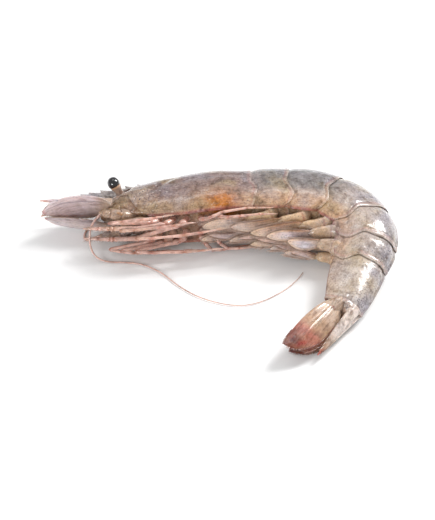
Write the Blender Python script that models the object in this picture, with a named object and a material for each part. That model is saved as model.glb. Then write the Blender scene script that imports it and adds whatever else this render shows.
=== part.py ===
"""A raw prawn in its shell, lying curled on its right side.

The head points to -X, the back to +Y and the left flank up to +Z, so the curl opens towards -Y.
Most solids are worked out in body coordinates: the distance along the body's axis from the eye socket
towards the tail, the height towards the back, and the reach towards the left flank. Head coordinates
are the same without the bend. Both are in millimetres, and a point's place in the world is in metres.
"""

import math

import bmesh
import bpy
import numpy as np

MM = 0.001
GAP = 0.4
SHARP_ANGLE = 50.0

# Driving lengths along the body's axis
CARAPACE_LENGTH = 33.0
SEGMENT_LENGTHS = (9.5, 11.5, 10.5, 8.5, 7.0, 15.5)
TELSON_LENGTH = 17.0
FACE_REACH = 7.0

# Which way each piece of the axis runs, in degrees clockwise from +X
HEADINGS = (-5.0, -4.0, 8.0, 38.0, 82.0, 106.0, 107.0, 122.0)
HEADING_BLEND = 3.0
AXIS_STEP = 0.25
AXIS_MARGIN = 12.0

# Where the eye socket lies, so that the whole prawn is centred on the origin
SOCKET_X = -24.15
SOCKET_Y = 17.36

# Half sizes of the trunk, at distances from the eye socket
TRUNK_AT = (-7.0, -4.0, 0.0, 6.0, 14.0, 24.0, 33.0, 42.5, 54.0, 64.5, 73.0, 80.0, 88.0, 95.5)
BACK_HEIGHT = (1.8, 3.7, 5.8, 7.4, 8.8, 9.6, 9.6, 9.9, 9.7, 9.0, 8.0, 6.9, 5.9, 4.9)
BELLY_DEPTH = (2.2, 4.3, 6.4, 8.2, 9.0, 9.2, 8.5, 9.2, 9.1, 8.6, 8.1, 7.7, 7.2, 5.6)
HALF_WIDTH = (1.9, 3.5, 4.9, 6.2, 7.2, 7.8, 7.5, 7.6, 7.4, 6.8, 6.1, 5.1, 4.3, 3.6)

# Powers that fill out the section's lower half, which is squarer than an oval
BELLY_POWER = 0.8
FLANK_POWER = 0.75

# The flank sinks this far into the surface that it lies on, which flattens it there
SUNK = 0.35
HEAD_LIFT = 6.85
HEAD_DROOP = 0.04
LIFT_FROM = 14.0
RIGHT_SQUEEZE = 0.82

# Shell plates: how they step up at their rear edge, and the lobes of that edge
RING_POINTS = 24
FACE_RINGS = 4
FACE_SPACING = 2.2
CARAPACE_RINGS = 16
PLATE_RINGS = 6
OVERLAP_STEP = 0.055
FACE_STEP = 0.06
LOBE_REACH = 1.6
LOBE_WIDTH = 0.28
HINGE_WIDTH = 0.2
HINGE_NOTCH = 0.6
BELLY_NOTCH = 1.0
CARAPACE_LOBE = 1.0
BELLY_GROOVE = 1.9
GROOVE_HALF_WIDTH = 3.5
KEEL_HEIGHT = 0.5
KEEL_WIDTH = 0.12
KEEL_FROM = 54.0

# Rostrum: a blade in the middle plane, in body coordinates
ROSTRUM_THICKNESS = 1.2
ROSTRUM_TIP = (-17.0, 6.5)
ROSTRUM_LOWER = ((-8.0, 4.9), (0.0, 4.8), (8.0, 6.4), (22.0, 8.9))
ROSTRUM_UPPER_AT = (-17.0, -8.0, 0.0, 12.0, 22.0)
ROSTRUM_UPPER = (6.6, 7.5, 8.8, 10.0, 9.9)
TOOTH_COUNT = 8
TOOTH_FIRST = 11.5
TOOTH_LAST = -12.0
TOOTH_HEIGHT = 0.9
TOOTH_LENGTH = 2.2

# Eyes: from the stalk's root to the outer end of the cornea, in head coordinates
EYE_ROOT = (-2.6, 4.1, 2.9)
EYE_END = (-3.9, 4.8, 7.4)
EYE_STALK_RADIUS = 0.75
CORNEA_RADIUS = 1.7
EYE_RINGS = 12

# Widths of the flat blades as shares of the greatest, at shares of their length
BLADE_POINTS = 10
BLADE_RINGS = 11
SCALE_OUTLINE = ((0.0, 0.35), (0.15, 0.7), (0.45, 1.0), (0.75, 0.92), (0.93, 0.6), (1.0, 0.2))
FAN_OUTLINE = ((0.0, 0.34), (0.12, 0.62), (0.3, 0.93), (0.5, 1.0), (0.75, 0.85), (0.93, 0.5), (1.0, 0.14))
TELSON_OUTLINE = ((0.0, 1.0), (0.3, 0.86), (0.6, 0.6), (0.85, 0.33), (1.0, 0.1))
PLEOPOD_OUTLINE = ((0.0, 0.6), (0.3, 0.62), (0.42, 0.9), (0.65, 1.0), (0.9, 0.6), (1.0, 0.2))

# Antennal scales, from root to tip in head coordinates, with their slant from the middle plane
SCALE_LEFT = ((-6.2, -1.0, 4.3), (-22.6, 0.3, 1.9))
SCALE_RIGHT = ((-6.6, -2.6, -2.9), (-21.8, 0.6, -1.4))
SCALE_SLANT_LEFT = 0.0
SCALE_SLANT_RIGHT = -30.0
SCALE_WIDTH = 7.0
SCALE_THICKNESS = 0.6

# Antennules and antennae, left side, in head coordinates
ANTENNULE_OUTER = (
    (-7.6, 3.0, 1.5), (-12.0, 3.3, 1.7), (-16.5, 3.6, 2.0), (-19.5, 3.6, 2.5), (-23.0, 3.2, 3.0),
)
ANTENNULE_INNER = ((-14.5, 3.4, 1.9), (-17.5, 4.0, 1.5), (-22.0, 4.6, 1.4))
ANTENNULE_RADII = (1.1, 0.95, 0.8, 0.35, 0.2)
ANTENNA_STALK = ((-2.4, -6.4, 3.6), (-7.2, -5.2, 4.1))
ANTENNA_STALK_RADIUS = 1.3
ANTENNA_RADIUS = 0.3
ANTENNA_TIP_RADIUS = 0.18

# Antenna whips along the surface: offsets from the eye socket along X and Y, and the height
WHIP_LEFT = (
    (-7.9, -5.4, 10.0), (-9.6, -8.0, 8.0), (-10.4, -10.5, 4.0), (-9.0, -12.4, 1.2), (-5.0, -12.8, 0.3),
    (0.0, -12.3, 0.3), (5.0, -12.8, 0.3), (9.5, -17.6, 0.3), (14.5, -23.6, 0.3), (20.8, -28.2, 0.3),
    (28.8, -30.7, 0.3), (35.1, -29.4, 0.3), (41.5, -24.8, 0.3), (45.0, -20.6, 0.3), (46.6, -17.6, 0.3),
)
WHIP_RIGHT = (
    (-7.9, -5.4, 3.2), (-9.0, -7.2, 1.6), (-10.6, -7.6, 0.3), (-12.2, -5.5, 0.3), (-11.5, -1.5, 0.3),
    (-8.6, 3.5, 0.3), (-5.0, 8.0, 0.3), (1.0, 12.0, 0.3), (11.0, 15.0, 0.3), (25.0, 17.5, 0.3),
    (40.0, 17.0, 0.3), (52.0, 14.0, 0.3), (60.0, 10.0, 0.3),
)

# Legs of the left side, from hip to tip in head coordinates
LEG_ROUTES = (
    (
        (8.0, -8.3, 2.8), (5.5, -9.8, 3.6), (-4.6, -10.0, 4.4), (-5.4, -11.4, 5.7), (3.0, -11.7, 6.3),
        (12.0, -11.0, 6.8),
    ),
    (
        (11.5, -8.9, 3.0), (9.2, -10.7, 3.5), (-1.8, -11.9, 3.4), (-2.4, -13.6, 4.4), (8.0, -13.4, 4.8),
        (17.5, -12.7, 5.2),
    ),
    (
        (15.0, -9.1, 3.0), (13.2, -11.0, 3.1), (2.2, -13.6, 2.2), (1.8, -15.5, 2.6), (14.0, -15.2, 3.2),
        (25.0, -14.2, 3.8),
    ),
    (
        (19.0, -9.1, 3.2), (20.0, -10.8, 4.6), (21.5, -12.2, 6.3), (24.5, -11.4, 7.2), (31.0, -10.4, 7.3),
        (38.0, -10.6, 7.0),
    ),
    (
        (23.0, -9.0, 3.6), (24.0, -10.8, 5.2), (26.0, -12.2, 6.0), (29.0, -12.2, 6.2), (34.0, -11.9, 6.2),
        (39.0, -12.0, 6.0),
    ),
)
LEG_RADII = ((0.7, 0.62, 0.6, 0.55, 0.5, 0.22),) * 3 + ((0.6, 0.52, 0.45, 0.42, 0.36, 0.2),) * 2
MAXILLIPED_ROUTE = ((5.5, -8.2, 1.7), (3.0, -10.0, 1.9), (-5.0, -9.4, 2.0), (-12.0, -8.2, 1.9))
MAXILLIPED_RADII = (0.8, 0.8, 0.65, 0.3)

# Swimming legs, folded forward below the belly: tips in head coordinates
PLEOPOD_TIPS = ((20.0, -11.2), (27.0, -12.7), (32.0, -14.6), (37.0, -16.6), (41.5, -18.8))
PLEOPOD_CLEARANCE = 0.8
PLEOPOD_SIDE = 2.4
PLEOPOD_WIDTH = 3.8
PLEOPOD_THICKNESS = 0.9

# Tail fan: each blade's root and tip as distance, height towards the back and height above the surface
FAN_BLADES = {
    "uropod_exopod_left": ((96.2, -1.6, 5.9), (116.6, -3.2, 5.0)),
    "uropod_endopod_left": ((96.2, -0.9, 4.3), (114.0, -1.2, 3.5)),
    "uropod_endopod_right": ((96.2, -0.9, 1.6), (112.4, -1.6, 1.4)),
    "uropod_exopod_right": ((96.2, -1.4, 0.55), (113.2, -3.0, 0.5)),
}
FAN_WIDTHS = {"exopod": 7.4, "endopod": 5.4}
FAN_SLANT_LEFT = 65.0
FAN_SLANT_RIGHT = 90.0
FAN_THICKNESS = 0.55
TELSON_ROOT = (96.0, 3.1, 3.5)
TELSON_TIP_HEIGHT = (2.0, 2.8)
TELSON_WIDTH = 5.2
TELSON_THICKNESS = 2.0

# Colours of the shell, the tail, the eyes and the antennal scales
PINK_GREY = (0.52, 0.40, 0.34)
PALE_PINK = (0.72, 0.47, 0.38)
TAIL_RED = (0.40, 0.17, 0.13)
EYE_BLACK = (0.01, 0.01, 0.01)
SCALE_LILAC = (0.46, 0.38, 0.38)


# Scene and materials

def clear_scene():
    for thing in list(bpy.data.objects):
        bpy.data.objects.remove(thing, do_unlink=True)


def new_collection(name):
    collection = bpy.data.collections.new(name)
    bpy.context.scene.collection.children.link(collection)
    return collection


def new_material(name, colour, roughness):
    material = bpy.data.materials.new(name)
    material.use_nodes = True
    shader = material.node_tree.nodes["Principled BSDF"]
    shader.inputs["Base Color"].default_value = (*colour, 1.0)
    shader.inputs["Roughness"].default_value = roughness
    shader.inputs["Metallic"].default_value = 0.0
    return material


# The body's axis and its coordinates

def smooth(at, stations, values):
    """A smooth curve through the values at the stations, level beyond both ends."""
    stations = np.asarray(stations, float)
    values = np.asarray(values, float)
    at = np.clip(at, stations[0], stations[-1])
    slopes = np.gradient(values, stations)
    left = np.clip(np.searchsorted(stations, at) - 1, 0, len(stations) - 2)
    span = stations[left + 1] - stations[left]
    t = (at - stations[left]) / span
    start = (1 + 2 * t) * (1 - t) ** 2 * values[left] + t * (1 - t) ** 2 * span * slopes[left]
    end = t * t * (3 - 2 * t) * values[left + 1] + t * t * (t - 1) * span * slopes[left + 1]
    return start + end


def plate_borders():
    """Distances of the plates' borders: the socket, the carapace's rear edge, and each segment's."""
    return np.cumsum((0.0, CARAPACE_LENGTH) + SEGMENT_LENGTHS + (TELSON_LENGTH,))


def draw_axis():
    """Distances along the axis, with the place and the heading at each."""
    borders = plate_borders()
    middles = (borders[:-1] + borders[1:]) / 2
    at = np.arange(-AXIS_MARGIN, borders[-1] + AXIS_MARGIN, AXIS_STEP)
    heading = np.radians(np.interp(at, middles, HEADINGS))
    reach = int(HEADING_BLEND / AXIS_STEP)
    window = np.ones(2 * reach + 1) / (2 * reach + 1)
    heading = np.convolve(np.pad(heading, reach, mode="edge"), window, mode="valid")
    x = np.cumsum(np.cos(heading)) * AXIS_STEP
    y = -np.cumsum(np.sin(heading)) * AXIS_STEP
    x += SOCKET_X - np.interp(0.0, at, x)
    y += SOCKET_Y - np.interp(0.0, at, y)
    return at, x, y, heading


AXIS_AT, AXIS_X, AXIS_Y, AXIS_HEADING = draw_axis()


def bend(s):
    """How fast the axis turns towards the belly, in radians a millimetre."""
    return np.interp(s, AXIS_AT, np.gradient(AXIS_HEADING, AXIS_AT))


def lift(s):
    """Height of the axis above the surface that the prawn lies on."""
    lying = smooth(np.maximum(s, LIFT_FROM), TRUNK_AT, HALF_WIDTH) - SUNK
    return np.where(s < LIFT_FROM, HEAD_LIFT - HEAD_DROOP * np.maximum(-s, 0.0), lying)


def place(s, up, height):
    """World point, in millimetres, from distance, height towards the back and height above the surface."""
    heading = np.interp(s, AXIS_AT, AXIS_HEADING)
    x = np.interp(s, AXIS_AT, AXIS_X) + up * np.sin(heading)
    y = np.interp(s, AXIS_AT, AXIS_Y) + up * np.cos(heading)
    return np.stack(np.broadcast_arrays(x, y, height), axis=-1)


def body_point(s, up, side):
    return place(s, up, lift(s) + side)


def head_point(along, up, side):
    """World point, in millimetres, from head coordinates, which run straight on past the bend."""
    heading = math.radians(HEADINGS[0])
    x = SOCKET_X + along * math.cos(heading) + up * math.sin(heading)
    y = SOCKET_Y - along * math.sin(heading) + up * math.cos(heading)
    droop = HEAD_DROOP * np.maximum(-np.asarray(along, float), 0.0)
    return np.stack(np.broadcast_arrays(x, y, HEAD_LIFT - droop + side), axis=-1)


def trunk_point(s, angle, scale=1.0):
    """A point of the trunk's skin: the angle runs from the back over the left flank to the belly."""
    back = smooth(s, TRUNK_AT, BACK_HEIGHT)
    belly = smooth(s, TRUNK_AT, BELLY_DEPTH)
    half = smooth(s, TRUNK_AT, HALF_WIDTH)
    to_back = np.cos(angle)
    to_side = np.sin(angle)
    upper = back * to_back + KEEL_HEIGHT * (s > KEEL_FROM) * np.exp(-(to_side / KEEL_WIDTH) ** 2)
    lower = -belly * np.abs(to_back) ** BELLY_POWER
    side = half * np.sign(to_side) * np.abs(to_side) ** np.where(to_back < 0, FLANK_POWER, 1.0)
    hollow = np.clip(1.0 - (side / GROOVE_HALF_WIDTH) ** 2, 0.0, 1.0)
    lower = lower + BELLY_GROOVE * hollow * np.clip(s / 6.0, 0.0, 1.0) * (to_back < 0)
    up = np.where(to_back >= 0, upper, lower)
    points = body_point(s, up * scale, side * scale)
    points[..., 2] = np.maximum(points[..., 2], 0.0)
    return points


# Making solids

def add_solid(name, mesh, material, collection):
    mesh.materials.append(material)
    solid = bpy.data.objects.new(name, mesh)
    collection.objects.link(solid)
    return solid


def loft(name, rings, material, collection):
    """A closed solid through rings of points in millimetres, with a fan of triangles over each end."""
    count, points = rings.shape[:2]
    ends = rings[[0, -1]].mean(axis=1)
    body = bmesh.new()
    grid = [[body.verts.new(point * MM) for point in ring] for ring in rings]
    centres = [body.verts.new(end * MM) for end in ends]
    for i in range(points):
        j = (i + 1) % points
        for row in range(count - 1):
            body.faces.new((grid[row][i], grid[row][j], grid[row + 1][j], grid[row + 1][i]))
        body.faces.new((centres[0], grid[0][j], grid[0][i]))
        body.faces.new((centres[1], grid[-1][i], grid[-1][j]))
    bmesh.ops.recalc_face_normals(body, faces=body.faces)
    mesh = bpy.data.meshes.new(name)
    body.to_mesh(mesh)
    body.free()
    mesh.shade_smooth()
    mesh.set_sharp_from_angle(angle=math.radians(SHARP_ANGLE))
    return add_solid(name, mesh, material, collection)


def cut_corners(route, rounds=2):
    """A smooth line from a rough one: each corner is replaced by two points, and both ends stay."""
    for _ in range(rounds):
        before = route[:-1] * 0.75 + route[1:] * 0.25
        after = route[:-1] * 0.25 + route[1:] * 0.75
        inner = np.stack((before, after), axis=1).reshape(-1, 3)
        route = np.concatenate((route[:1], inner[1:-1], route[-1:]))
    return route


def shares_along(route):
    """How far along a route each of its points lies, from 0 to 1."""
    steps = np.linalg.norm(np.diff(route, axis=0), axis=1)
    return np.concatenate(((0.0,), np.cumsum(steps))) / steps.sum()


def tube(name, route, radii, material, collection, resolution=1):
    """A round limb along the points of a route in millimetres, its radius given at each point."""
    curve = bpy.data.curves.new(name, "CURVE")
    curve.dimensions = "3D"
    curve.bevel_depth = MM
    curve.bevel_resolution = resolution
    curve.use_fill_caps = True
    spline = curve.splines.new("POLY")
    spline.points.add(len(route) - 1)
    for point, spot, radius in zip(spline.points, route, radii):
        point.co = (*(spot * MM), 1.0)
        point.radius = radius
    return add_solid(name, curve, material, collection)


def limb(name, route, radii, material, collection):
    """A tube along a route with its corners cut, its radii given at the route's own points."""
    rough = np.asarray(route, float)
    fine = cut_corners(rough)
    radius = np.interp(shares_along(fine), shares_along(rough), radii)
    return tube(name, fine, radius, material, collection)


def blade(name, root, tip, across, sizes, outline, material, collection):
    """A flat blade of oval section from root to tip; sizes are its greatest width and thickness."""
    width, thickness = sizes
    share = np.linspace(0.0, 1.0, BLADE_RINGS)
    spine = root + (tip - root) * share[:, None]
    forward = (tip - root) / np.linalg.norm(tip - root)
    across = across - forward * np.dot(across, forward)
    across = across / np.linalg.norm(across)
    normal = np.cross(forward, across)
    stations, widths = zip(*outline)
    half = width / 2 * smooth(share, stations, widths)
    depth = thickness / 2 * np.minimum(1.0, 1.25 - share)
    turn = np.arange(BLADE_POINTS) * 2 * math.pi / BLADE_POINTS
    rings = spine[:, None, :] + half[:, None, None] * np.cos(turn)[None, :, None] * across
    rings = rings + depth[:, None, None] * np.sin(turn)[None, :, None] * normal
    return loft(name, rings, material, collection)


def as_mesh(solid):
    """The same solid as a mesh object, with the caps of a curve welded to its wall."""
    evaluated = solid.evaluated_get(bpy.context.evaluated_depsgraph_get())
    mesh = bpy.data.meshes.new_from_object(evaluated)
    body = bmesh.new()
    body.from_mesh(mesh)
    bmesh.ops.remove_doubles(body, verts=body.verts, dist=0.0001 * MM)
    bmesh.ops.recalc_face_normals(body, faces=body.faces)
    body.to_mesh(mesh)
    body.free()
    name, matrix, collection = solid.name, solid.matrix_world.copy(), solid.users_collection[0]
    bpy.data.objects.remove(solid, do_unlink=True)
    result = bpy.data.objects.new(name, mesh)
    result.matrix_world = matrix
    collection.objects.link(result)
    return result


def fuse(solid, extra):
    """Joins the extra piece to the solid; the extra piece lies among the cutters."""
    extra.hide_render = True
    extra.display_type = "WIRE"
    union = solid.modifiers.new("Join " + extra.name, "BOOLEAN")
    union.operation = "UNION"
    union.solver = "EXACT"
    union.object = extra


# Shell plates

def rear_edge(angle, lobe_at=-0.55, lobe_reach=LOBE_REACH):
    """How far a plate's rear edge reaches tailwards: a lobe low on each flank, notches at hinge and belly."""
    to_back = np.cos(angle)
    lobe = lobe_reach * np.exp(-((to_back - lobe_at) / LOBE_WIDTH) ** 2)
    hinge = HINGE_NOTCH * np.exp(-(to_back / HINGE_WIDTH) ** 2)
    belly = BELLY_NOTCH * np.clip((-to_back - 0.8) / 0.2, 0.0, 1.0)
    return lobe - hinge - belly


def half_gap(s, angle):
    """Half the gap between two plates as a distance along the axis, which the bend squeezes or stretches."""
    depth = smooth(s, TRUNK_AT, BELLY_DEPTH) * np.cos(angle)
    return GAP / 2 / np.clip(1.0 + bend(s) * depth, 0.3, 1.5)


def ring_angles():
    return np.arange(RING_POINTS) * 2 * math.pi / RING_POINTS


def make_carapace(material, collection):
    angles = ring_angles()
    rear = CARAPACE_LENGTH + rear_edge(angles, -0.3, CARAPACE_LOBE)
    rear = rear - half_gap(CARAPACE_LENGTH, angles)
    face = [(-FACE_REACH + i * FACE_SPACING, 1.0 - FACE_STEP) for i in range(FACE_RINGS)]
    rings = [trunk_point(np.full(RING_POINTS, s), angles, scale) for s, scale in face]
    for share in np.linspace(0.0, 1.0, CARAPACE_RINGS):
        rings.append(trunk_point(share * rear, angles))
    return loft("carapace", np.array(rings), material, collection)


def make_segment(number, material, collection):
    """One plate of the abdomen with the flesh in it, from the border before it to its own."""
    angles = ring_angles()
    borders = plate_borders()
    front_border, rear_border = borders[number], borders[number + 1]
    front_lobes = rear_edge(angles, -0.3, CARAPACE_LOBE) if number == 1 else rear_edge(angles)
    rear_lobes = np.zeros(RING_POINTS) if number == len(SEGMENT_LENGTHS) else rear_edge(angles)
    front = front_border + front_lobes + half_gap(front_border, angles)
    rear = rear_border + rear_lobes - half_gap(rear_border, angles)
    ring_count = PLATE_RINGS + 2 * (number == len(SEGMENT_LENGTHS))
    rings = []
    for share in np.linspace(0.0, 1.0, ring_count):
        s = front + (rear - front) * share
        rings.append(trunk_point(s, angles, 1.0 - OVERLAP_STEP * (1.0 - share) ** 2))
    return loft(f"abdomen_{number}", np.array(rings), material, collection)


def rostrum_outline():
    """The rostrum in body coordinates: its teeth one by one, its tip, and back along its lower edge."""
    outline = [(22.0, ROSTRUM_UPPER[-1])]
    for s in np.linspace(TOOTH_FIRST, TOOTH_LAST, TOOTH_COUNT):
        edge = float(smooth(s, ROSTRUM_UPPER_AT, ROSTRUM_UPPER))
        height = TOOTH_HEIGHT * (0.75 if s < -8.0 else 1.0)
        outline.append((s + TOOTH_LENGTH / 2, edge))
        outline.append((s - TOOTH_LENGTH / 2, edge + height))
        outline.append((s - TOOTH_LENGTH / 3, edge - 0.1))
    return outline + [ROSTRUM_TIP] + list(ROSTRUM_LOWER)


def make_rostrum(material, collection):
    curve = bpy.data.curves.new("rostrum", "CURVE")
    curve.dimensions = "2D"
    curve.fill_mode = "BOTH"
    curve.extrude = ROSTRUM_THICKNESS / 2 * MM
    outline = rostrum_outline()
    spline = curve.splines.new("POLY")
    spline.points.add(len(outline) - 1)
    spline.use_cyclic_u = True
    for point, (s, up) in zip(spline.points, outline):
        spot = place(s, up, 0.0) * MM
        point.co = (spot[0], spot[1], 0.0, 1.0)
    rostrum = add_solid("rostrum", curve, material, collection)
    rostrum.location.z = HEAD_LIFT * MM
    bpy.context.view_layer.update()
    return as_mesh(rostrum)


# Head pieces

def mirrored(points, sign):
    """Head coordinates of the same points on the left, or on the right, where the surface presses them in."""
    points = np.array(points, float)
    points[:, 2] *= 1.0 if sign > 0 else -RIGHT_SQUEEZE
    return head_point(points[:, 0], points[:, 1], points[:, 2])


def make_eye(side, sign, material, collection):
    root, end = mirrored((EYE_ROOT, EYE_END), sign)
    share = np.linspace(0.0, 1.0, EYE_RINGS)
    length = np.linalg.norm(end - root)
    from_centre = length * (1.0 - share) - CORNEA_RADIUS
    globe = np.sqrt(np.maximum(CORNEA_RADIUS ** 2 - from_centre ** 2, 0.0))
    radii = np.where(from_centre > 0.0, np.maximum(globe, EYE_STALK_RADIUS), np.maximum(globe, 0.3))
    route = root + (end - root) * share[:, None]
    return tube(f"eye_{side}", route, radii, material, collection, resolution=3)


def make_antennule(side, sign, material, collection, cutters):
    whole = limb(f"antennule_{side}", mirrored(ANTENNULE_OUTER, sign), ANTENNULE_RADII, material, collection)
    inner_radii = (0.35, 0.3, 0.2)
    inner = limb(f"branch_{side}", mirrored(ANTENNULE_INNER, sign), inner_radii, material, cutters)
    whole = as_mesh(whole)
    fuse(whole, as_mesh(inner))
    return whole


def make_scale(side, sign, material, collection):
    ends = np.array(SCALE_LEFT if sign > 0 else SCALE_RIGHT)
    root, tip = head_point(ends[:, 0], ends[:, 1], ends[:, 2])
    slant = math.radians(SCALE_SLANT_LEFT if sign > 0 else SCALE_SLANT_RIGHT)
    middle = head_point(0.0, 0.0, 0.0)
    across = head_point(0.0, -math.sin(slant), sign * math.cos(slant)) - middle
    sizes = (SCALE_WIDTH, SCALE_THICKNESS)
    return blade(f"antennal_scale_{side}", root, tip, across, sizes, SCALE_OUTLINE, material, collection)


def make_antenna_stalk(side, sign, material, collection):
    root, tip = mirrored(ANTENNA_STALK, sign)
    share = np.linspace(0.0, 1.0, 5)
    radii = ANTENNA_STALK_RADIUS * np.array((0.85, 1.0, 0.95, 0.85, 0.5))
    route = root + (tip - root) * share[:, None]
    return tube(f"antenna_stalk_{side}", route, radii, material, collection)


def make_antenna_whip(side, sign, material, collection):
    route = np.array(WHIP_LEFT if sign > 0 else WHIP_RIGHT) + (SOCKET_X, SOCKET_Y, 0.0)
    fine = cut_corners(route)
    radii = np.interp(shares_along(fine), (0.0, 1.0), (ANTENNA_RADIUS, ANTENNA_TIP_RADIUS))
    fine[:, 2] = np.maximum(fine[:, 2] * (fine[:, 2] > ANTENNA_RADIUS), radii)
    return tube(f"antenna_{side}", fine, radii, material, collection)


# Legs

def make_legs(side, sign, material, collection):
    route = mirrored(MAXILLIPED_ROUTE, sign)
    limb(f"maxilliped_{side}", route, MAXILLIPED_RADII, material, collection)
    for number, (route, radii) in enumerate(zip(LEG_ROUTES, LEG_RADII), start=1):
        limb(f"leg_{side}_{number}", mirrored(route, sign), radii, material, collection)


def make_pleopods(side, sign, material, collection):
    """The five swimming legs of one side, each from the middle of its segment's belly."""
    borders = plate_borders()
    across = np.array((0.0, 0.0, 1.0))
    squeeze = 1.0 if sign > 0 else RIGHT_SQUEEZE
    sizes = (PLEOPOD_WIDTH * squeeze, PLEOPOD_THICKNESS)
    reach = PLEOPOD_SIDE * sign * squeeze
    for number, (along, up) in enumerate(PLEOPOD_TIPS, start=1):
        s = (borders[number] + borders[number + 1]) / 2
        depth = float(smooth(s, TRUNK_AT, BELLY_DEPTH)) + PLEOPOD_CLEARANCE
        root = body_point(s, -depth, reach)
        tip = head_point(along, up, reach)
        name = f"pleopod_{side}_{number}"
        blade(name, root, tip, across, sizes, PLEOPOD_OUTLINE, material, collection)


# Tail fan

def make_tail_fan(shell, red, collection):
    heading = float(np.interp(plate_borders()[-2], AXIS_AT, AXIS_HEADING))
    to_back = np.array((math.sin(heading), math.cos(heading), 0.0))
    upright = np.array((0.0, 0.0, 1.0))
    root = place(*TELSON_ROOT)
    tip = place(plate_borders()[-1], *TELSON_TIP_HEIGHT)
    blade("telson", root, tip, upright, (TELSON_WIDTH, TELSON_THICKNESS), TELSON_OUTLINE, shell, collection)
    for name, (root, tip) in FAN_BLADES.items():
        slant = math.radians(FAN_SLANT_LEFT if name.endswith("left") else FAN_SLANT_RIGHT)
        across = upright * math.cos(slant) - to_back * math.sin(slant)
        sizes = (FAN_WIDTHS[name.split("_")[1]], FAN_THICKNESS)
        blade(name, place(*root), place(*tip), across, sizes, FAN_OUTLINE, red, collection)


def main():
    clear_scene()
    parts = new_collection("raw_prawn")
    cutters = new_collection("cutters")
    shell = new_material("shell", PINK_GREY, 0.25)
    limbs = new_material("limbs", PALE_PINK, 0.3)
    red = new_material("tail", TAIL_RED, 0.3)
    black = new_material("eye", EYE_BLACK, 0.1)
    lilac = new_material("antennal_scale", SCALE_LILAC, 0.3)

    carapace = make_carapace(shell, parts)
    fuse(carapace, make_rostrum(shell, cutters))
    for number in range(1, len(SEGMENT_LENGTHS) + 1):
        make_segment(number, shell, parts)
    for side, sign in (("left", 1), ("right", -1)):
        make_eye(side, sign, black, parts)
        make_antennule(side, sign, limbs, parts, cutters)
        make_scale(side, sign, lilac, parts)
        make_antenna_stalk(side, sign, limbs, parts)
        make_antenna_whip(side, sign, limbs, parts)
        make_legs(side, sign, limbs, parts)
        make_pleopods(side, sign, limbs, parts)
    make_tail_fan(shell, red, parts)


main()
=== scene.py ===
"""The looks of a raw prawn that lies curled on its right side.

Places are worked out in millimetres, in the prawn's own coordinates: the distance along the body's axis
from the eye socket towards the tail, the height towards the back, and the reach towards the left flank.
Colours are written as the eye reads them, from 0 to 255. A surface is a dictionary of its points, its
faces and its colours, made from whole arrays, and becomes a mesh at the end.
"""

import math

import bpy
import numpy as np
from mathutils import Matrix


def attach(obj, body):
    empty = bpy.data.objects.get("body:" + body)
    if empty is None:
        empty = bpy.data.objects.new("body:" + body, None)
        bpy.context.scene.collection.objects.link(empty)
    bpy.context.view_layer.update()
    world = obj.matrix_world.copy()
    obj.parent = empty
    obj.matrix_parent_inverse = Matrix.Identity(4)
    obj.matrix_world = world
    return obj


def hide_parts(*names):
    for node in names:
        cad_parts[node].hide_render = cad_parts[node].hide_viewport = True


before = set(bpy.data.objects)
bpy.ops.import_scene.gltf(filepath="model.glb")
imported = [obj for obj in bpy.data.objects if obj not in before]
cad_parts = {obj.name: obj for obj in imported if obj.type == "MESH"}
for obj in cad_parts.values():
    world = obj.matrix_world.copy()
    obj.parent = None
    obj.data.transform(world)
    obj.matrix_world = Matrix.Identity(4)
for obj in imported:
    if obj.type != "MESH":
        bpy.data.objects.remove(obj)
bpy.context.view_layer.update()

MM = 0.001

# Driving lengths and headings of the body's axis
CARAPACE_LENGTH = 33.0
SEGMENT_LENGTHS = (9.5, 11.5, 10.5, 8.5, 7.0, 15.5)
TELSON_LENGTH = 17.0
FACE_REACH = 7.0
HEADINGS = (-5.0, -4.0, 8.0, 38.0, 82.0, 106.0, 107.0, 122.0)
HEADING_BLEND = 3.0
AXIS_STEP = 0.25
AXIS_MARGIN = 12.0
SOCKET_X = -24.15
SOCKET_Y = 17.36

# Half sizes of the trunk, at distances from the eye socket
TRUNK_AT = (-7.0, -4.0, 0.0, 6.0, 14.0, 24.0, 33.0, 42.5, 54.0, 64.5, 73.0, 80.0, 88.0, 95.5)
BACK_HEIGHT = (1.8, 3.7, 5.8, 7.4, 8.8, 9.6, 9.6, 9.9, 9.7, 9.0, 8.0, 6.9, 5.9, 4.9)
BELLY_DEPTH = (2.2, 4.3, 6.4, 8.2, 9.0, 9.2, 8.5, 9.2, 9.1, 8.6, 8.1, 7.7, 7.2, 5.6)
HALF_WIDTH = (1.9, 3.5, 4.9, 6.2, 7.2, 7.8, 7.5, 7.6, 7.4, 6.8, 6.1, 5.1, 4.3, 3.6)
SUNK = 0.35
HEAD_LIFT = 6.85
HEAD_DROOP = 0.04
LIFT_FROM = 14.0
RIGHT_SQUEEZE = 0.82
KEEL_HEIGHT = 0.5
KEEL_FROM = 54.0

# The trunk's section from the back round the flank to the belly, as shares of its half sizes.
# It runs over the free lower margin of the shell, turns in below it and crosses the sunken belly.
SECTION = (
    (0.0, 1.0), (0.36, 0.94), (0.68, 0.74), (0.9, 0.42), (1.0, 0.02), (0.985, -0.36), (0.9, -0.66),
    (0.79, -0.86), (0.715, -0.95), (0.66, -0.965), (0.62, -0.92), (0.56, -0.86), (0.36, -0.82), (0.0, -0.84),
)
SECTION_STEPS = 6
FOLD_LEVEL = -0.84

# Lobes of the plates' rear edges, in millimetres
LOBE_REACH = 1.6
HINGE_NOTCH = 0.6
BELLY_NOTCH = 1.0
CARAPACE_LOBE = 1.0
OVERHANG = 0.55
RISE = 0.42
RISE_LENGTH = 2.6

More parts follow.
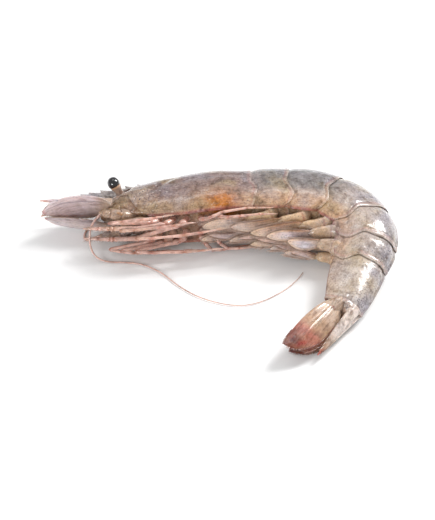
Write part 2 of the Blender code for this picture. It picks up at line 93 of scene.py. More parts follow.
# Rows that tuck a plate's front under and roll its rear edge in: distance past the edge, and inset
FRONT_TUCK = ((-1.7, 0.78), (-1.2, 0.64), (-0.6, 0.53), (-0.1, 0.45))
REAR_RIM = ((0.1, 0.0), (0.15, 0.1), (0.09, 0.2), (-0.15, 0.27), (-0.8, 0.32), (-1.6, 0.36))
LAST_RIM = (
    (0.1, 0.0), (0.15, 0.1), (0.09, 0.2), (-0.2, 0.4), (-0.3, 0.7), (0.0, 1.2), (0.5, 2.0), (0.8, 2.9),
)
CARAPACE_TUCK = ((1.4, 0.5), (0.6, 0.42), (0.16, 0.34), (0.0, 0.22), (-0.04, 0.1))
LOBE_LEVEL = -0.55
CARAPACE_LOBE_LEVEL = -0.3

# Grooves of the carapace over distance and height: both ends, the width, and the depth, negative for a ridge
CARAPACE_GROOVES = (
    ((12.5, 5.2), (8.0, 0.8), 0.75, 0.38),
    ((8.0, 0.8), (3.2, -0.6), 0.6, 0.28),
    ((12.0, 2.0), (31.0, 3.2), 0.8, 0.2),
    ((-1.6, 1.3), (5.5, 1.1), 0.55, -0.22),
    ((7.4, 1.9), (8.4, 1.7), 0.4, -0.5),
    ((9.0, 0.0), (20.0, -2.0), 1.2, -0.16),
)

# Front edge of the carapace: distance from the socket at shares of the height
FRONT_EDGE_AT = (-0.97, -0.8, -0.5, -0.15, 0.1, 0.22, 0.34, 0.55, 0.78, 0.93, 1.0)
FRONT_EDGE = (5.5, 3.2, 1.6, 0.7, 0.1, -1.6, 0.3, 1.5, 0.9, -0.8, -2.2)

# Rostrum
ROSTRUM_AT = (-17.0, -14.0, -8.0, 0.0, 6.0, 12.0, 22.0)
ROSTRUM_TOP = (6.62, 6.95, 7.5, 8.8, 9.5, 9.95, 9.8)
ROSTRUM_BOTTOM = (6.5, 6.05, 5.1, 5.2, 6.6, 7.9, 8.9)
ROSTRUM_HALF = (0.12, 0.25, 0.5, 0.75, 0.7, 0.6, 0.25)
TOOTH_COUNT = 8
TOOTH_FIRST = 11.5
TOOTH_LAST = -12.0
TOOTH_HEIGHT = 1.0
TOOTH_LENGTH = 2.6

# Rows and columns of the meshes
CARAPACE_ROWS = 130
SEGMENT_ROWS = 46
LAST_ROWS = 62
FACE_ROWS = 60
ROSTRUM_ROWS = 420
ROSTRUM_COLUMNS = 20
EYE_ROWS = 60
EYE_COLUMNS = 36
SCALE_ROWS = 90
SCALE_COLUMNS = 44
PLEOPOD_ROWS = 60
PLEOPOD_COLUMNS = 36
FAN_ROWS = 100
FAN_COLUMNS = 48
TELSON_ROWS = 110
TELSON_COLUMNS = 48
LUMP_ROWS = 22
LUMP_COLUMNS = 24

# Least height above the floor, points and thickness of a hair, and where a blade's fringe ends
FLOOR_GAP = 0.02
HAIR_POINTS = 7
BLADE_HAIR = 0.028
LIMB_HAIR = 0.022
FRINGE_END = 0.995
RIPPLE_WAVES = 6

# Head limbs of the left side, in head coordinates
EYE_ROOT = (-1.2, 3.4, 2.2)
EYE_END = (-3.9, 4.8, 7.4)
EYE_RADIUS = 1.72
# Each antennal scale: its root, its tip and its slant in degrees
SCALES = {
    "left": ((-3.8, -1.5, 4.4), (-22.6, 0.3, 1.9), 0.0),
    "right": ((-4.4, -2.8, -3.0), (-21.8, 0.6, -1.4), -30.0),
}
SCALE_EDGE_AT = (0.0, 0.08, 0.25, 0.5, 0.75, 0.87, 0.95, 1.0)
SCALE_OUTER = (0.2, 0.38, 0.78, 1.0, 0.84, 0.5, 0.16, -0.2)
SCALE_INNER = (-0.4, -0.72, -1.2, -1.26, -1.0, -0.74, -0.48, -0.28)
SCALE_RIBS = ((0.9, 0.09, 1.8), (0.42, 0.05, 1.5), (0.2, 0.04, 0.7), (-0.25, 0.04, 0.5))
# The scale's own spine: rows of the midline and of the outer edge that it passes, and how far out
SCALE_BARB = ((66, 66, 0.9), (76, 74, 1.0), (84, 77, 1.0))
SCALE_WIDTH = 7.0
SCALE_BOW = 0.35
SCALE_CAMBER = 0.6
ANTENNULE_OUTER = (
    (-5.5, 2.6, 1.3), (-12.0, 3.3, 1.7), (-16.5, 3.6, 2.0), (-19.5, 3.6, 2.5), (-23.0, 3.2, 3.0),
)
ANTENNULE_INNER = ((-14.5, 3.4, 1.9), (-17.5, 4.0, 1.5), (-22.0, 4.6, 1.4))
ANTENNA_STALK = ((0.8, -5.4, 2.6), (-1.6, -5.9, 3.5), (-4.6, -5.9, 4.1), (-7.6, -5.2, 4.3))
# Radius of the antenna's base at shares of its length
STALK_STEPS = (
    (0.0, 1.2), (0.1, 1.7), (0.22, 1.84), (0.32, 1.74), (0.345, 1.36), (0.37, 1.56), (0.5, 1.6), (0.62, 1.46),
    (0.65, 1.1), (0.68, 1.26), (0.78, 1.22), (0.86, 0.96), (0.9, 0.62), (1.0, 0.36),
)
STALK_THORN = ((0.0, -0.8, 0.9), (0.0, -1.0, 1.3), (0.0, -1.0, 1.5))
WHIP_LEFT = (
    (-7.9, -5.4, 10.0), (-9.3, -7.6, 8.0), (-9.8, -10.2, 4.2), (-8.4, -12.6, 1.4), (-5.0, -13.6, 0.3),
    (0.0, -13.6, 0.3), (4.6, -14.4, 0.3), (9.5, -17.6, 0.3), (14.5, -23.6, 0.3), (20.8, -28.2, 0.3),
    (28.8, -30.7, 0.3), (35.1, -29.4, 0.3), (41.5, -24.8, 0.3), (45.0, -20.6, 0.3), (46.6, -17.6, 0.3),
)
WHIP_RIGHT = (
    (-7.9, -5.4, 3.2), (-9.2, -6.0, 1.9), (-10.6, -5.6, 0.8), (-11.5, -3.9, 0.3), (-11.2, -1.2, 0.3),
    (-8.6, 3.5, 0.3), (-5.0, 8.0, 0.3), (1.0, 12.0, 0.3), (11.0, 15.0, 0.3), (25.0, 17.5, 0.3),
    (40.0, 17.0, 0.3), (52.0, 14.0, 0.3), (60.0, 10.0, 0.3),
)

# Legs of the left side, from hip to tip in head coordinates
LEG_ROUTES = (
    ((8.5, -6.4, 2.2), (8.0, -8.3, 2.8), (5.5, -9.8, 3.6), (-5.4, -10.6, 5.0),
     (-2.0, -11.3, 5.8), (3.0, -11.7, 6.3), (12.0, -11.0, 6.8)),
    ((12.0, -6.9, 2.4), (11.5, -8.9, 3.0), (9.2, -10.7, 3.5), (-2.6, -12.7, 3.9),
     (1.2, -13.4, 4.4), (8.0, -13.4, 4.8), (17.5, -12.7, 5.2)),
    ((15.5, -7.0, 2.4), (15.0, -9.1, 3.0), (13.2, -11.0, 3.1), (1.4, -14.5, 2.4),
     (5.4, -15.2, 2.8), (14.0, -15.2, 3.2), (25.0, -14.2, 3.8)),
    ((19.5, -7.0, 2.6), (19.0, -9.1, 3.2), (20.0, -10.8, 4.6), (21.5, -12.2, 6.3),
     (24.5, -11.4, 7.2), (31.0, -10.4, 7.3), (38.0, -10.6, 7.0)),
    ((23.5, -7.0, 2.8), (23.0, -9.0, 3.6), (24.0, -10.8, 5.2), (26.0, -12.2, 6.0),
     (29.0, -12.2, 6.2), (34.0, -11.9, 6.2), (39.0, -12.0, 6.0)),
)
# Legs with claws, points along a leg and round it, and the claw's finger: point of the leg and gap beside it
CLAW_LEGS = 3
LEG_POINTS = 230
LEG_SIDES = 16
FINGER = ((206, 0.0), (210, 0.3), (219, 0.34), (227, 0.1))
# How near a corner a limb bends, and its pinch at a joint and swelling beside it as shares of its radius
KINK_REACH = 0.8
JOINT_PINCH = 0.2
JOINT_SWELL = 0.16
# Radii along the limbs
PALP_SIZES = (0.7, 0.85, 0.7, 0.5, 0.2)
FEELER_SIZES = (1.15, 1.1, 0.95, 0.78, 0.42, 0.3, 0.14)
LASH_SIZES = (0.5, 0.34, 0.26, 0.12)
WHIP_SIZES = (0.34, 0.22, 0.18, 0.15, 0.13, 0.1)
CLAWED_SIZES = (0.9, 0.8, 0.66, 0.6, 0.55, 0.48, 0.42, 0.46, 0.42, 0.3, 0.08)
PLAIN_SIZES = (0.8, 0.7, 0.55, 0.48, 0.42, 0.38, 0.33, 0.27, 0.1)
MAXILLIPED_SIZES = (0.95, 0.95, 0.85, 0.72, 0.6, 0.25)
# Lumps of the mouth: centre, half sizes along, up and aside, and colour
MOUTH_LUMPS = (
    ((0.6, -5.0, 1.6), (2.6, 1.7, 2.0), (160, 124, 94)),
    ((3.6, -6.6, 1.5), (2.4, 1.3, 1.5), (168, 128, 92)),
    ((6.6, -7.4, 1.2), (2.2, 1.0, 1.5), (150, 112, 82)),
    ((-4.4, -2.9, 1.9), (2.0, 1.4, 1.5), (152, 126, 104)),
)
LUMP_SPECKLE = 0.5
MOUTH_PALPS = (
    ((5.2, -7.4, 3.0), (2.4, -8.0, 3.4), (-1.6, -7.8, 3.3)),
    ((8.0, -8.0, 2.4), (5.0, -8.7, 2.7), (0.8, -8.9, 2.6)),
)
MAXILLIPED_ROUTE = (
    (5.8, -6.2, 1.5), (5.5, -8.2, 1.7), (3.0, -10.0, 1.9), (-5.0, -9.4, 2.0), (-12.0, -8.2, 1.9),
)

# Swimming legs: their tips along and up in head coordinates, the base's sizes and the blades' edges
PLEOPOD_TIPS = ((20.0, -11.2), (27.0, -12.7), (32.0, -14.6), (37.0, -16.6), (41.5, -18.8))
PLEOPOD_CLEARANCE = 0.8
PLEOPOD_SIDE = 2.4
PLEOPOD_WIDTH = 3.8
PLEOPOD_BASE = (1.8, 1.85, 1.6, 1.4, 1.3, 1.1, 0.4)
PLEOPOD_EDGE_AT = (0.0, 0.15, 0.4, 0.7, 0.88, 0.96, 1.0)
PLEOPOD_EDGE = (0.6, 0.92, 1.04, 0.94, 0.62, 0.34, 0.08)
PLEOPOD_RIBS = ((0.0, 0.08, 1.6),)

# Tail fan: each blade's root and tip as distance, height towards the back and height above the surface
FAN_BLADES = {
    "uropod_exopod_left": ((95.4, -1.6, 5.9), (116.6, -3.2, 5.0)),
    "uropod_endopod_left": ((95.4, -0.9, 4.3), (114.0, -1.2, 3.5)),
    "uropod_endopod_right": ((95.4, -0.9, 1.6), (112.4, -1.6, 1.4)),
    "uropod_exopod_right": ((95.4, -1.4, 0.55), (113.2, -3.0, 0.5)),
}
FAN_EDGE_AT = (0.0, 0.1, 0.3, 0.5, 0.7, 0.85, 0.95, 1.0)
EXOPOD_OUTER = (0.3, 0.6, 0.88, 0.98, 0.98, 0.92, 0.82, 0.7)
EXOPOD_INNER = (-0.34, -0.64, -0.98, -1.06, -0.9, -0.5, 0.0, 0.55)
ENDOPOD_OUTER = (0.3, 0.62, 0.96, 1.0, 0.84, 0.56, 0.28, 0.04)
ENDOPOD_INNER = tuple(-reach for reach in ENDOPOD_OUTER)
EXOPOD_RIBS = ((0.12, 0.05, 2.2), (-0.12, 0.05, 1.6), (0.86, 0.09, 1.6))
ENDOPOD_RIBS = ((0.08, 0.06, 2.0), (-0.1, 0.05, 1.4))
# Each kind of fan blade: width, edges, ribs, and where its outer fringe begins
FAN_KINDS = {
    "exopod": (7.4, (EXOPOD_OUTER, EXOPOD_INNER), EXOPOD_RIBS, 0.75),
    "endopod": (5.4, (ENDOPOD_OUTER, ENDOPOD_INNER), ENDOPOD_RIBS, 0.4),
}
# Each side of the fan: its blades' slant in degrees, their bow lengthwise and their camber across
FAN_SIDES = {"left": (65.0, 0.25, -0.95), "right": (90.0, 0.0, -0.15)}
# The stout roots of the outer blades
FAN_ROOTS = {
    "left": ((93.2, -0.6, 5.0), (95.6, -1.0, 5.2), (97.4, -1.4, 5.4), (99.0, -1.8, 5.6)),
    "right": ((93.2, -0.8, 2.0), (95.6, -1.0, 1.6), (97.4, -1.4, 1.2), (99.0, -1.8, 0.9)),
}
FAN_ROOT_SIZES = (1.5, 2.1, 2.3, 1.9, 0.7)

# Telson: its ends, its half width and half depth along it, and the rows where its small spines begin
TELSON_ROOT = (95.0, 3.1, 3.5)
TELSON_TIP_HEIGHT = (2.0, 2.8)
TELSON_WIDTH = 5.2
TELSON_THICKNESS = 2.0
TELSON_EDGE_AT = (0.0, 0.2, 0.5, 0.8, 0.94, 1.0)
TELSON_EDGE = (1.12, 1.05, 0.78, 0.4, 0.16, 0.03)
TELSON_DEPTH_AT = (0.0, 0.15, 0.5, 0.85, 1.0)
TELSON_DEPTH = (1.75, 1.4, 0.95, 0.6, 0.15)
TELSON_SPINES = (70, 82, 92)

# Colours
FLANK = (180, 163, 151)
BACK = (158, 149, 145)
LOW_FLANK = (194, 148, 106)
BELLY = (186, 154, 122)
CARAPACE_FRONT = (158, 134, 122)
CARAPACE_LOW = (166, 134, 104)
# Painted shade laid on the upper carapace, darker and redder
CARAPACE_PAINTED_SHADE = (88, 36, 42)
# Painted shade laid on the upper flanks of the first two plates, darker and cooler
FLANK_PAINTED_SHADE = (60, 72, 84)
# Painted shade laid on the belly among the walking legs
BELLY_PAINTED_SHADE = (112, 58, 42)
ORGAN_ORANGE = (180, 104, 0)
BLUE_BAND = (112, 109, 116)
VEIN = (82, 74, 66)
PLATE_EDGE = (196, 176, 164)
PLATE_RED = (164, 88, 80)
TAIL_PALE = (188, 174, 162)
TELSON_PALE = (222, 206, 196)
FAN_BASE = (206, 180, 158)
FAN_MIDDLE = (178, 142, 114)
FAN_OLIVE = (150, 104, 56)
FAN_TIP = (98, 10, 0)
FAN_CRIMSON = (168, 30, 36)
FAN_HAIR = (156, 96, 84)
# Antennal scales: the middle and the dark colours are laid over the blade's inner lower half as painted
# shade, and the dark also darkens the rostrum towards its tip
SCALE_PALE = (216, 200, 204)
SCALE_MIDDLE = (186, 168, 166)
SCALE_DARK = (92, 78, 84)
MOUTH_TAN = (172, 132, 98)
MOUTH_BROWN = (124, 82, 56)
BASE_TAN = (172, 144, 122)
LEG_PALE = (216, 176, 162)
LEG_JOINT = (176, 108, 88)
PLEOPOD_OLIVE = (208, 176, 142)
PLEOPOD_PALE = (224, 192, 170)
PLEOPOD_HAIR = (212, 176, 156)
PLEOPOD_RED = (150, 84, 68)
PLEOPOD_BROWN = (112, 84, 60)
# Whitish patch in the middle of the swimming legs' blades: partly their glassy tone, partly a painted
# highlight, strongest on the rear outer blades
PLEOPOD_GLASS_AND_HIGHLIGHT = (238, 230, 240)
WHIP_PINK = (200, 152, 138)
WHIP_PALE = (214, 186, 176)
CORNEA = (8, 8, 10)
FACET = (70, 60, 80)
EYE_STALK = (162, 138, 122)
EYE_MARK = (96, 66, 52)
EYE_RIM = (196, 150, 110)
BRISTLE = (170, 134, 112)
COOL_SHADE = (150, 144, 154)
OLIVE_SHADE = (164, 142, 104)
PIGMENT = (62, 54, 64)
FLECK = (232, 224, 218)
FLESH_DARK = (150, 138, 132)
FLESH_LIGHT = (92, 88, 84)

# Noises over the body, and over the drawn-out grain for the fibre: scale, detail and roughness
NOISES = {
    "broad": (150.0, 3.0, 0.5),
    "patch": (480.0, 4.0, 0.6),
    "fine": (1700.0, 3.0, 0.6),
    "fibre": (1.0, 4.0, 0.6),
}
FIBRE_STRETCH = (0.3, 2.1, 1.0)
# Shades laid over a piece's own colours: the noise, its values where the shade begins and where it is full,
# which strength counts and what share of it, how it mixes, and the colour
SHADES = (
    ("broad", 0.47, 0.33, "mottle", 0.6, "MIX", OLIVE_SHADE),
    ("patch", 0.52, 0.32, "mottle", 1.0, "MULTIPLY", FLESH_DARK),
    ("patch", 0.52, 0.72, "mottle", 0.8, "SCREEN", FLESH_LIGHT),
    ("fibre", 0.5, 0.34, "streak", 1.0, "MULTIPLY", FLESH_DARK),
    ("fibre", 0.52, 0.7, "streak", 0.8, "SCREEN", FLESH_LIGHT),
    ("fine", 0.5, 0.34, "mottle", 0.35, "MULTIPLY", FLESH_DARK),
    ("fine", 0.54, 0.7, "mottle", 0.4, "SCREEN", FLESH_LIGHT),
)
# Spots: scale, distances from a spot's middle where it ends and where it is full, the noise that thins the
# spots out with two values of it, share of the speckling's strength, and the colour
SPOTS = (
    (1100.0, 0.42, 0.06, "fine", 0.44, 0.62, 0.55, FLECK),
    (1900.0, 0.4, 0.18, "patch", 0.4, 0.56, 1.0, PIGMENT),
)
WET_ROUGHNESS = (0.24, 0.4)
BUMP_HEIGHT = 0.0005

# Camera: it looks along +Y and down
CAMERA_ELEVATION = 42.0
CAMERA_DISTANCE = 650.0
CAMERA_LENS = 172.0
CAMERA_TARGET = (0.0, 0.0, 4.5)
CAMERA_CLIP = (0.01, 20.0)

# Lights: place and size in millimetres, and power
LIGHTS = {
    "window": ((345.0, 236.0, 384.0), (190.0, 300.0), 3.4),
    "strip": ((-60.0, 250.0, 560.0), (340.0, 60.0), 0.3),
    "front": ((-300.0, -470.0, 240.0), (240.0, 180.0), 1.9),
}
WORLD_STRENGTH = 0.54
FLOOR_HALF = 3.0
FLOOR_LEVEL = -0.00005

BODY = "root"


# Numbers and curves

def smooth(at, stations, values):
    """A smooth curve through the values at the stations, level beyond both ends."""
    stations = np.asarray(stations, float)
    values = np.asarray(values, float)
    at = np.clip(at, stations[0], stations[-1])
    slopes = np.gradient(values, stations)
    left = np.clip(np.searchsorted(stations, at) - 1, 0, len(stations) - 2)
    span = stations[left + 1] - stations[left]
    t = (at - stations[left]) / span
    start = (1 + 2 * t) * (1 - t) ** 2 * values[left] + t * (1 - t) ** 2 * span * slopes[left]
    end = t * t * (3 - 2 * t) * values[left + 1] + t * t * (t - 1) * span * slopes[left + 1]
    return start + end


def ease(value, low, high):
    """0 below low, 1 above high, and a smooth step between."""
    t = np.clip((value - low) / (high - low), 0.0, 1.0)
    return t * t * (3 - 2 * t)


def fade(value, start, end):
    """1 below the start, 0 above the end, and a smooth step between."""
    return ease(-value, -end, -start)


def hump(value, middle, width):
    """A bell curve: 1 at the middle, falling off over the width."""
    return np.exp(-(((value - middle) / width) ** 2))


def unit(vectors):
    """The vectors at length 1."""
    return vectors / np.maximum(np.linalg.norm(vectors, axis=-1, keepdims=True), 1e-9)


def turns(count):
    """Angles evenly spaced round a full turn."""
    return np.arange(count) * 2 * math.pi / count


def ripple(a, b, seed):
    """Gentle unevenness over two coordinates in millimetres: a sum of slanted waves from a seed."""
    draw = np.random.default_rng(seed)
    total = np.zeros(np.broadcast_shapes(np.shape(a), np.shape(b)))
    for _ in range(RIPPLE_WAVES):
        way = draw.uniform(0.0, math.pi)
        length = draw.uniform(3.0, 11.0)
        phase = (a * math.cos(way) + b * math.sin(way)) * 2 * math.pi / length
        total = total + np.sin(phase + draw.uniform(0.0, 6.0))
    return total / RIPPLE_WAVES


# Colours

def linear(colour):
    """Linear light of a colour from 0 to 255."""
    share = np.asarray(colour, float) / 255.0
    return np.where(share <= 0.04045, share / 12.92, ((share + 0.055) / 1.055) ** 2.4)


def mixed(tint, colour, weight):
    """The tint with a colour laid over it by a weight from 0 to 1 at each point."""
    weight = np.asarray(weight)[..., None]
    return tint * (1.0 - weight) + linear(colour) * weight


def layered(base, shape, *layers):
    """A base colour over an array's shape, with colours laid over it in turn, each by its weight."""
    tint = np.broadcast_to(linear(base), (*shape, 3))
    for colour, weight in layers:
        tint = mixed(tint, colour, np.broadcast_to(weight, shape))
    return tint


# The body's axis and its coordinates

def plate_borders():
    """Distances of the plates' borders from the eye socket, on to the telson's tip."""
    return np.cumsum((0.0, CARAPACE_LENGTH) + SEGMENT_LENGTHS + (TELSON_LENGTH,))


def draw_axis():
    """Distances along the axis, with the place and the heading at each."""
    borders = plate_borders()
    middles = (borders[:-1] + borders[1:]) / 2
    at = np.arange(-AXIS_MARGIN, borders[-1] + AXIS_MARGIN, AXIS_STEP)
    heading = np.radians(np.interp(at, middles, HEADINGS))
    reach = int(HEADING_BLEND / AXIS_STEP)
    window = np.ones(2 * reach + 1) / (2 * reach + 1)
    heading = np.convolve(np.pad(heading, reach, mode="edge"), window, mode="valid")
    x = np.cumsum(np.cos(heading)) * AXIS_STEP
    y = -np.cumsum(np.sin(heading)) * AXIS_STEP
    x += SOCKET_X - np.interp(0.0, at, x)
    y += SOCKET_Y - np.interp(0.0, at, y)
    return at, x, y, heading


AXIS_AT, AXIS_X, AXIS_Y, AXIS_HEADING = draw_axis()


def lift(s):
    """Height of the axis above the surface that the prawn lies on."""
    lying = smooth(np.maximum(s, LIFT_FROM), TRUNK_AT, HALF_WIDTH) - SUNK
    return np.where(s < LIFT_FROM, HEAD_LIFT - HEAD_DROOP * np.maximum(-s, 0.0), lying)


def place(s, up, height):
    """World point from distance, height towards the back and height above the surface."""
    heading = np.interp(s, AXIS_AT, AXIS_HEADING)
    x = np.interp(s, AXIS_AT, AXIS_X) + up * np.sin(heading)
    y = np.interp(s, AXIS_AT, AXIS_Y) + up * np.cos(heading)
    return np.stack(np.broadcast_arrays(x, y, height), axis=-1)


def body_point(s, up, side):
    """World point from distance, height towards the back and reach towards the left flank."""
    return place(s, up, lift(s) + side)


def head_point(along, up, side):
    """World point from head coordinates, which run straight on past the bend."""
    heading = math.radians(HEADINGS[0])
    x = SOCKET_X + along * math.cos(heading) + up * math.sin(heading)
    y = SOCKET_Y - along * math.sin(heading) + up * math.cos(heading)
    droop = HEAD_DROOP * np.maximum(-np.asarray(along, float), 0.0)
    return np.stack(np.broadcast_arrays(x, y, HEAD_LIFT - droop + side), axis=-1)


def mirrored(points, sign):
    """World points from head coordinates, as they are on the left, or pressed in on the right."""
    points = np.array(points, float)
    points[:, 2] *= 1.0 if sign > 0 else -RIGHT_SQUEEZE
    return head_point(points[:, 0], points[:, 1], points[:, 2])


# Surfaces

def closed_grid(places, tint, speckle=0.0, shift=0.0):
    """A surface whose rows are loops: four-sided faces between them, and a fan over each end.

    The grain is how far a point lies along the rows' way and round its own loop, in millimetres.
    """
    rows, columns = places.shape[:2]
    middles = places.mean(axis=1)
    along = np.linalg.norm(np.diff(middles, axis=0, prepend=middles[:1]), axis=1).cumsum()
    around = np.linalg.norm(np.diff(places, axis=1, prepend=places[:, :1]), axis=2).cumsum(axis=1)
    around = np.minimum(around, around[:, -1:] - around)
    row = np.arange(rows - 1)[:, None] * columns
    here = np.arange(columns)
    there = (here + 1) % columns
    quads = np.stack((row + here, row + there, row + columns + there, row + columns + here), axis=-1)
    first = rows * columns
    end = first - columns
    fans = np.concatenate((
        np.stack((np.full(columns, first), there, here), axis=-1),
        np.stack((np.full(columns, first + 1), end + here, end + there), axis=-1),
    ))
    fields = {
        "points": places,
        "tint": np.broadcast_to(tint, places.shape),
        "speckle": np.broadcast_to(speckle, places.shape[:2]),
        "grain": np.stack(np.broadcast_arrays(along[:, None] + shift, around, shift), axis=-1),
    }
    surface = {"quads": quads.reshape(-1, 4), "fans": fans}
    for key, field in fields.items():
        flat = field.reshape(-1, *field.shape[2:])
        surface[key] = np.concatenate((flat, field[[0, -1]].mean(axis=1)))
    return outward(surface)


def outward(surface):
    """Turns the faces round if the volume inside them comes out negative."""
    points, quads, fans = surface["points"], surface["quads"], surface["fans"]
    triangles = np.concatenate((quads[:, [0, 1, 2]], quads[:, [0, 2, 3]], fans))
    a, b, c = (points[triangles[:, k]] - points.mean(axis=0) for k in range(3))
    if np.einsum("ij,ij->i", a, np.cross(b, c)).sum() < 0.0:
        surface["quads"] = quads[:, ::-1]
        surface["fans"] = fans[:, ::-1]
    return surface


def merged(surfaces):
    """One surface of several, each with its own points."""
    starts = np.cumsum([0] + [len(part["points"]) for part in surfaces[:-1]])
    whole = {}
    for key in ("points", "tint", "speckle", "grain"):
        whole[key] = np.concatenate([part[key] for part in surfaces])
    for key in ("quads", "fans"):
        whole[key] = np.concatenate([part[key] + start for part, start in zip(surfaces, starts)])
    return whole


def add_piece(name, surface, material, slot, *nodes):
    """The surface as a smooth mesh object that rides on the body and stands for the solids named."""
    mesh = bpy.data.meshes.new(name)
    corners = np.concatenate((surface["quads"].ravel(), surface["fans"].ravel()))
    sizes = np.concatenate((np.full(len(surface["quads"]), 4), np.full(len(surface["fans"]), 3)))
    mesh.vertices.add(len(surface["points"]))
    mesh.vertices.foreach_set("co", (surface["points"] * MM).ravel())
    mesh.loops.add(len(corners))
    mesh.loops.foreach_set("vertex_index", corners.astype(np.int32))
    mesh.polygons.add(len(sizes))
    mesh.polygons.foreach_set("loop_start", (np.cumsum(sizes) - sizes).astype(np.int32))
    mesh.update(calc_edges=True)
    opaque = np.column_stack((surface["tint"], np.ones(len(surface["tint"]))))
    for key, kind, part, values in (
        ("tint", "FLOAT_COLOR", "color", opaque),
        ("speckle", "FLOAT", "value", surface["speckle"]),
        ("grain", "FLOAT_VECTOR", "vector", surface["grain"]),
    ):
        mesh.attributes.new(key, kind, "POINT").data.foreach_set(part, values.ravel())
    mesh.shade_smooth()
    mesh.materials.append(material)
    piece = bpy.data.objects.new(name, mesh)
    bpy.context.scene.collection.objects.link(piece)
    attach(piece, BODY)
    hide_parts(*nodes)


def cut_corners(route, rounds):
    """A smooth line from a rough one: each corner is replaced by two points, and both ends stay."""
    for _ in range(rounds):
        before = route[:-1] * 0.75 + route[1:] * 0.25
        after = route[:-1] * 0.25 + route[1:] * 0.75
        inner = np.stack((before, after), axis=1).reshape(-1, 3)
        route = np.concatenate((route[:1], inner[1:-1], route[-1:]))
    return route


def kinked(route):
    """The route with two more points close to each corner, so that a limb bends only at its joints."""
    route = np.asarray(route, float)
    steps = np.diff(route, axis=0)
    lengths = np.linalg.norm(steps, axis=1, keepdims=True)
    near = np.minimum(KINK_REACH, 0.4 * lengths) * steps / lengths
    corners = np.stack((route[1:-1] - near[:-1], route[1:-1], route[1:-1] + near[1:]), axis=1).reshape(-1, 3)
    return np.concatenate((route[:1], corners, route[-1:]))


def corner_shares(route):
    """Where the route's corners lie, as shares of its length."""
    lengths = np.linalg.norm(np.diff(np.asarray(route, float), axis=0), axis=1)
    return lengths.cumsum()[:-1] / lengths.sum()


def follow(route, count):
    """Evenly spaced points of a smooth line along a route, as shares of its length, places and directions."""
    fine = cut_corners(np.asarray(route, float), 4)
    steps = np.linalg.norm(np.diff(fine, axis=0), axis=1)
    share = np.concatenate(((0.0,), np.cumsum(steps))) / steps.sum()
    at = np.linspace(0.0, 1.0, count)
    spine = np.stack([np.interp(at, share, fine[:, k]) for k in range(3)], axis=1)
    return at, spine, unit(np.gradient(spine, axis=0))


def above_floor(places):
    """The places with none lower than the least height."""
    places[..., 2] = np.maximum(places[..., 2], FLOOR_GAP)
    return places


def rings(across, over, count, flat=1.0):
    """Directions round each point of a line: by the cosine across it and by the sine, flattened, over it."""
    turn = turns(count)[None, :, None]
    return across[:, None, :] * np.cos(turn) + over[:, None, :] * np.sin(turn) * flat


def limb(route, radius, tint, count, sides, flat=1.0, reference=(0.0, 0.25, 1.0), speckle=0.0, lumps=0.0):
    """A limb: a ring of the given radius round each point of a route, flattened along the reference.

    The radius and the tint are arrays over the length, or functions of the share along it.
    """
    at, spine, ahead = follow(route, count)
    width = radius(at) if callable(radius) else np.interp(at, np.linspace(0.0, 1.0, len(radius)), radius)
    colour = tint(at) if callable(tint) else np.broadcast_to(tint, (count, 3))
    across = unit(np.cross(ahead, np.asarray(reference, float)))
    ring = rings(across, np.cross(across, ahead), sides, flat)
    turned = 4.0 * np.cos(turns(sides))[None, :]
    swelling = 1.0 + lumps * ripple(spine[:, :1] * 3.0, turned + spine[:, 1:2], 7)
    places = above_floor(spine[:, None, :] + (width[:, None] * swelling)[..., None] * ring)
    return closed_grid(places, colour[:, None, :], speckle, float(spine[0].sum() % 50.0))


def ovoid(centre, radii, sign, tint):
    """A lumpy egg of the given half sizes along, up and aside, at a place in head coordinates."""
    polar = np.linspace(0.06, math.pi - 0.06, LUMP_ROWS)[:, None]
    turn = turns(LUMP_COLUMNS)[None, :]
    lump = 1.0 + 0.09 * ripple(polar * 4.0 + centre[0], 3.0 * np.cos(turn) + centre[1], 12)
    along = centre[0] - radii[0] * np.cos(polar) * lump
    up = centre[1] + radii[1] * np.sin(polar) * np.cos(turn) * lump
    aside = centre[2] + radii[2] * np.sin(polar) * np.sin(turn) * lump
    aside = aside if sign > 0 else -RIGHT_SQUEEZE * aside
    return closed_grid(head_point(along, up, aside), linear(tint), LUMP_SPECKLE, centre[0])


def jointed(sizes, joints):
    """Radius along a limb: smooth through the sizes, pinched at each joint and swollen on both its sides."""
    def radius(at):
        base = smooth(at, np.linspace(0.0, 1.0, len(sizes)), sizes)
        change = np.zeros_like(at)
        for joint in joints:
            change = change - JOINT_PINCH * hump(at, joint, 0.009)
            change = change + JOINT_SWELL * (hump(at, joint - 0.026, 0.02) + hump(at, joint + 0.022, 0.015))
        tip = np.sqrt(np.clip((1.0 - at) / 0.012, 0.02, 1.0))
        root = np.sqrt(np.clip(at / 0.012, 0.05, 1.0))
        return base * (1.0 + change) * tip * root
    return radius


def jointed_tint(pale, dark, joints, end=None):
    """Colour along a limb: pale, darker round each joint, and an end colour over the last stretch."""
    def tint(at):
        weight = np.zeros_like(at)
        for joint in joints:
            weight = np.maximum(weight, 0.75 * hump(at, joint, 0.022))
        colour = mixed(np.broadcast_to(linear(pale), (len(at), 3)), dark, weight)
        return colour if end is None else mixed(colour, end, ease(at, 0.82, 1.0))
    return tint


def breadth(columns):
    """How far across a blade each point of its rows lies: 1 at the outer edge, -1 at the inner."""
    return np.cos(turns(columns))[None, :]


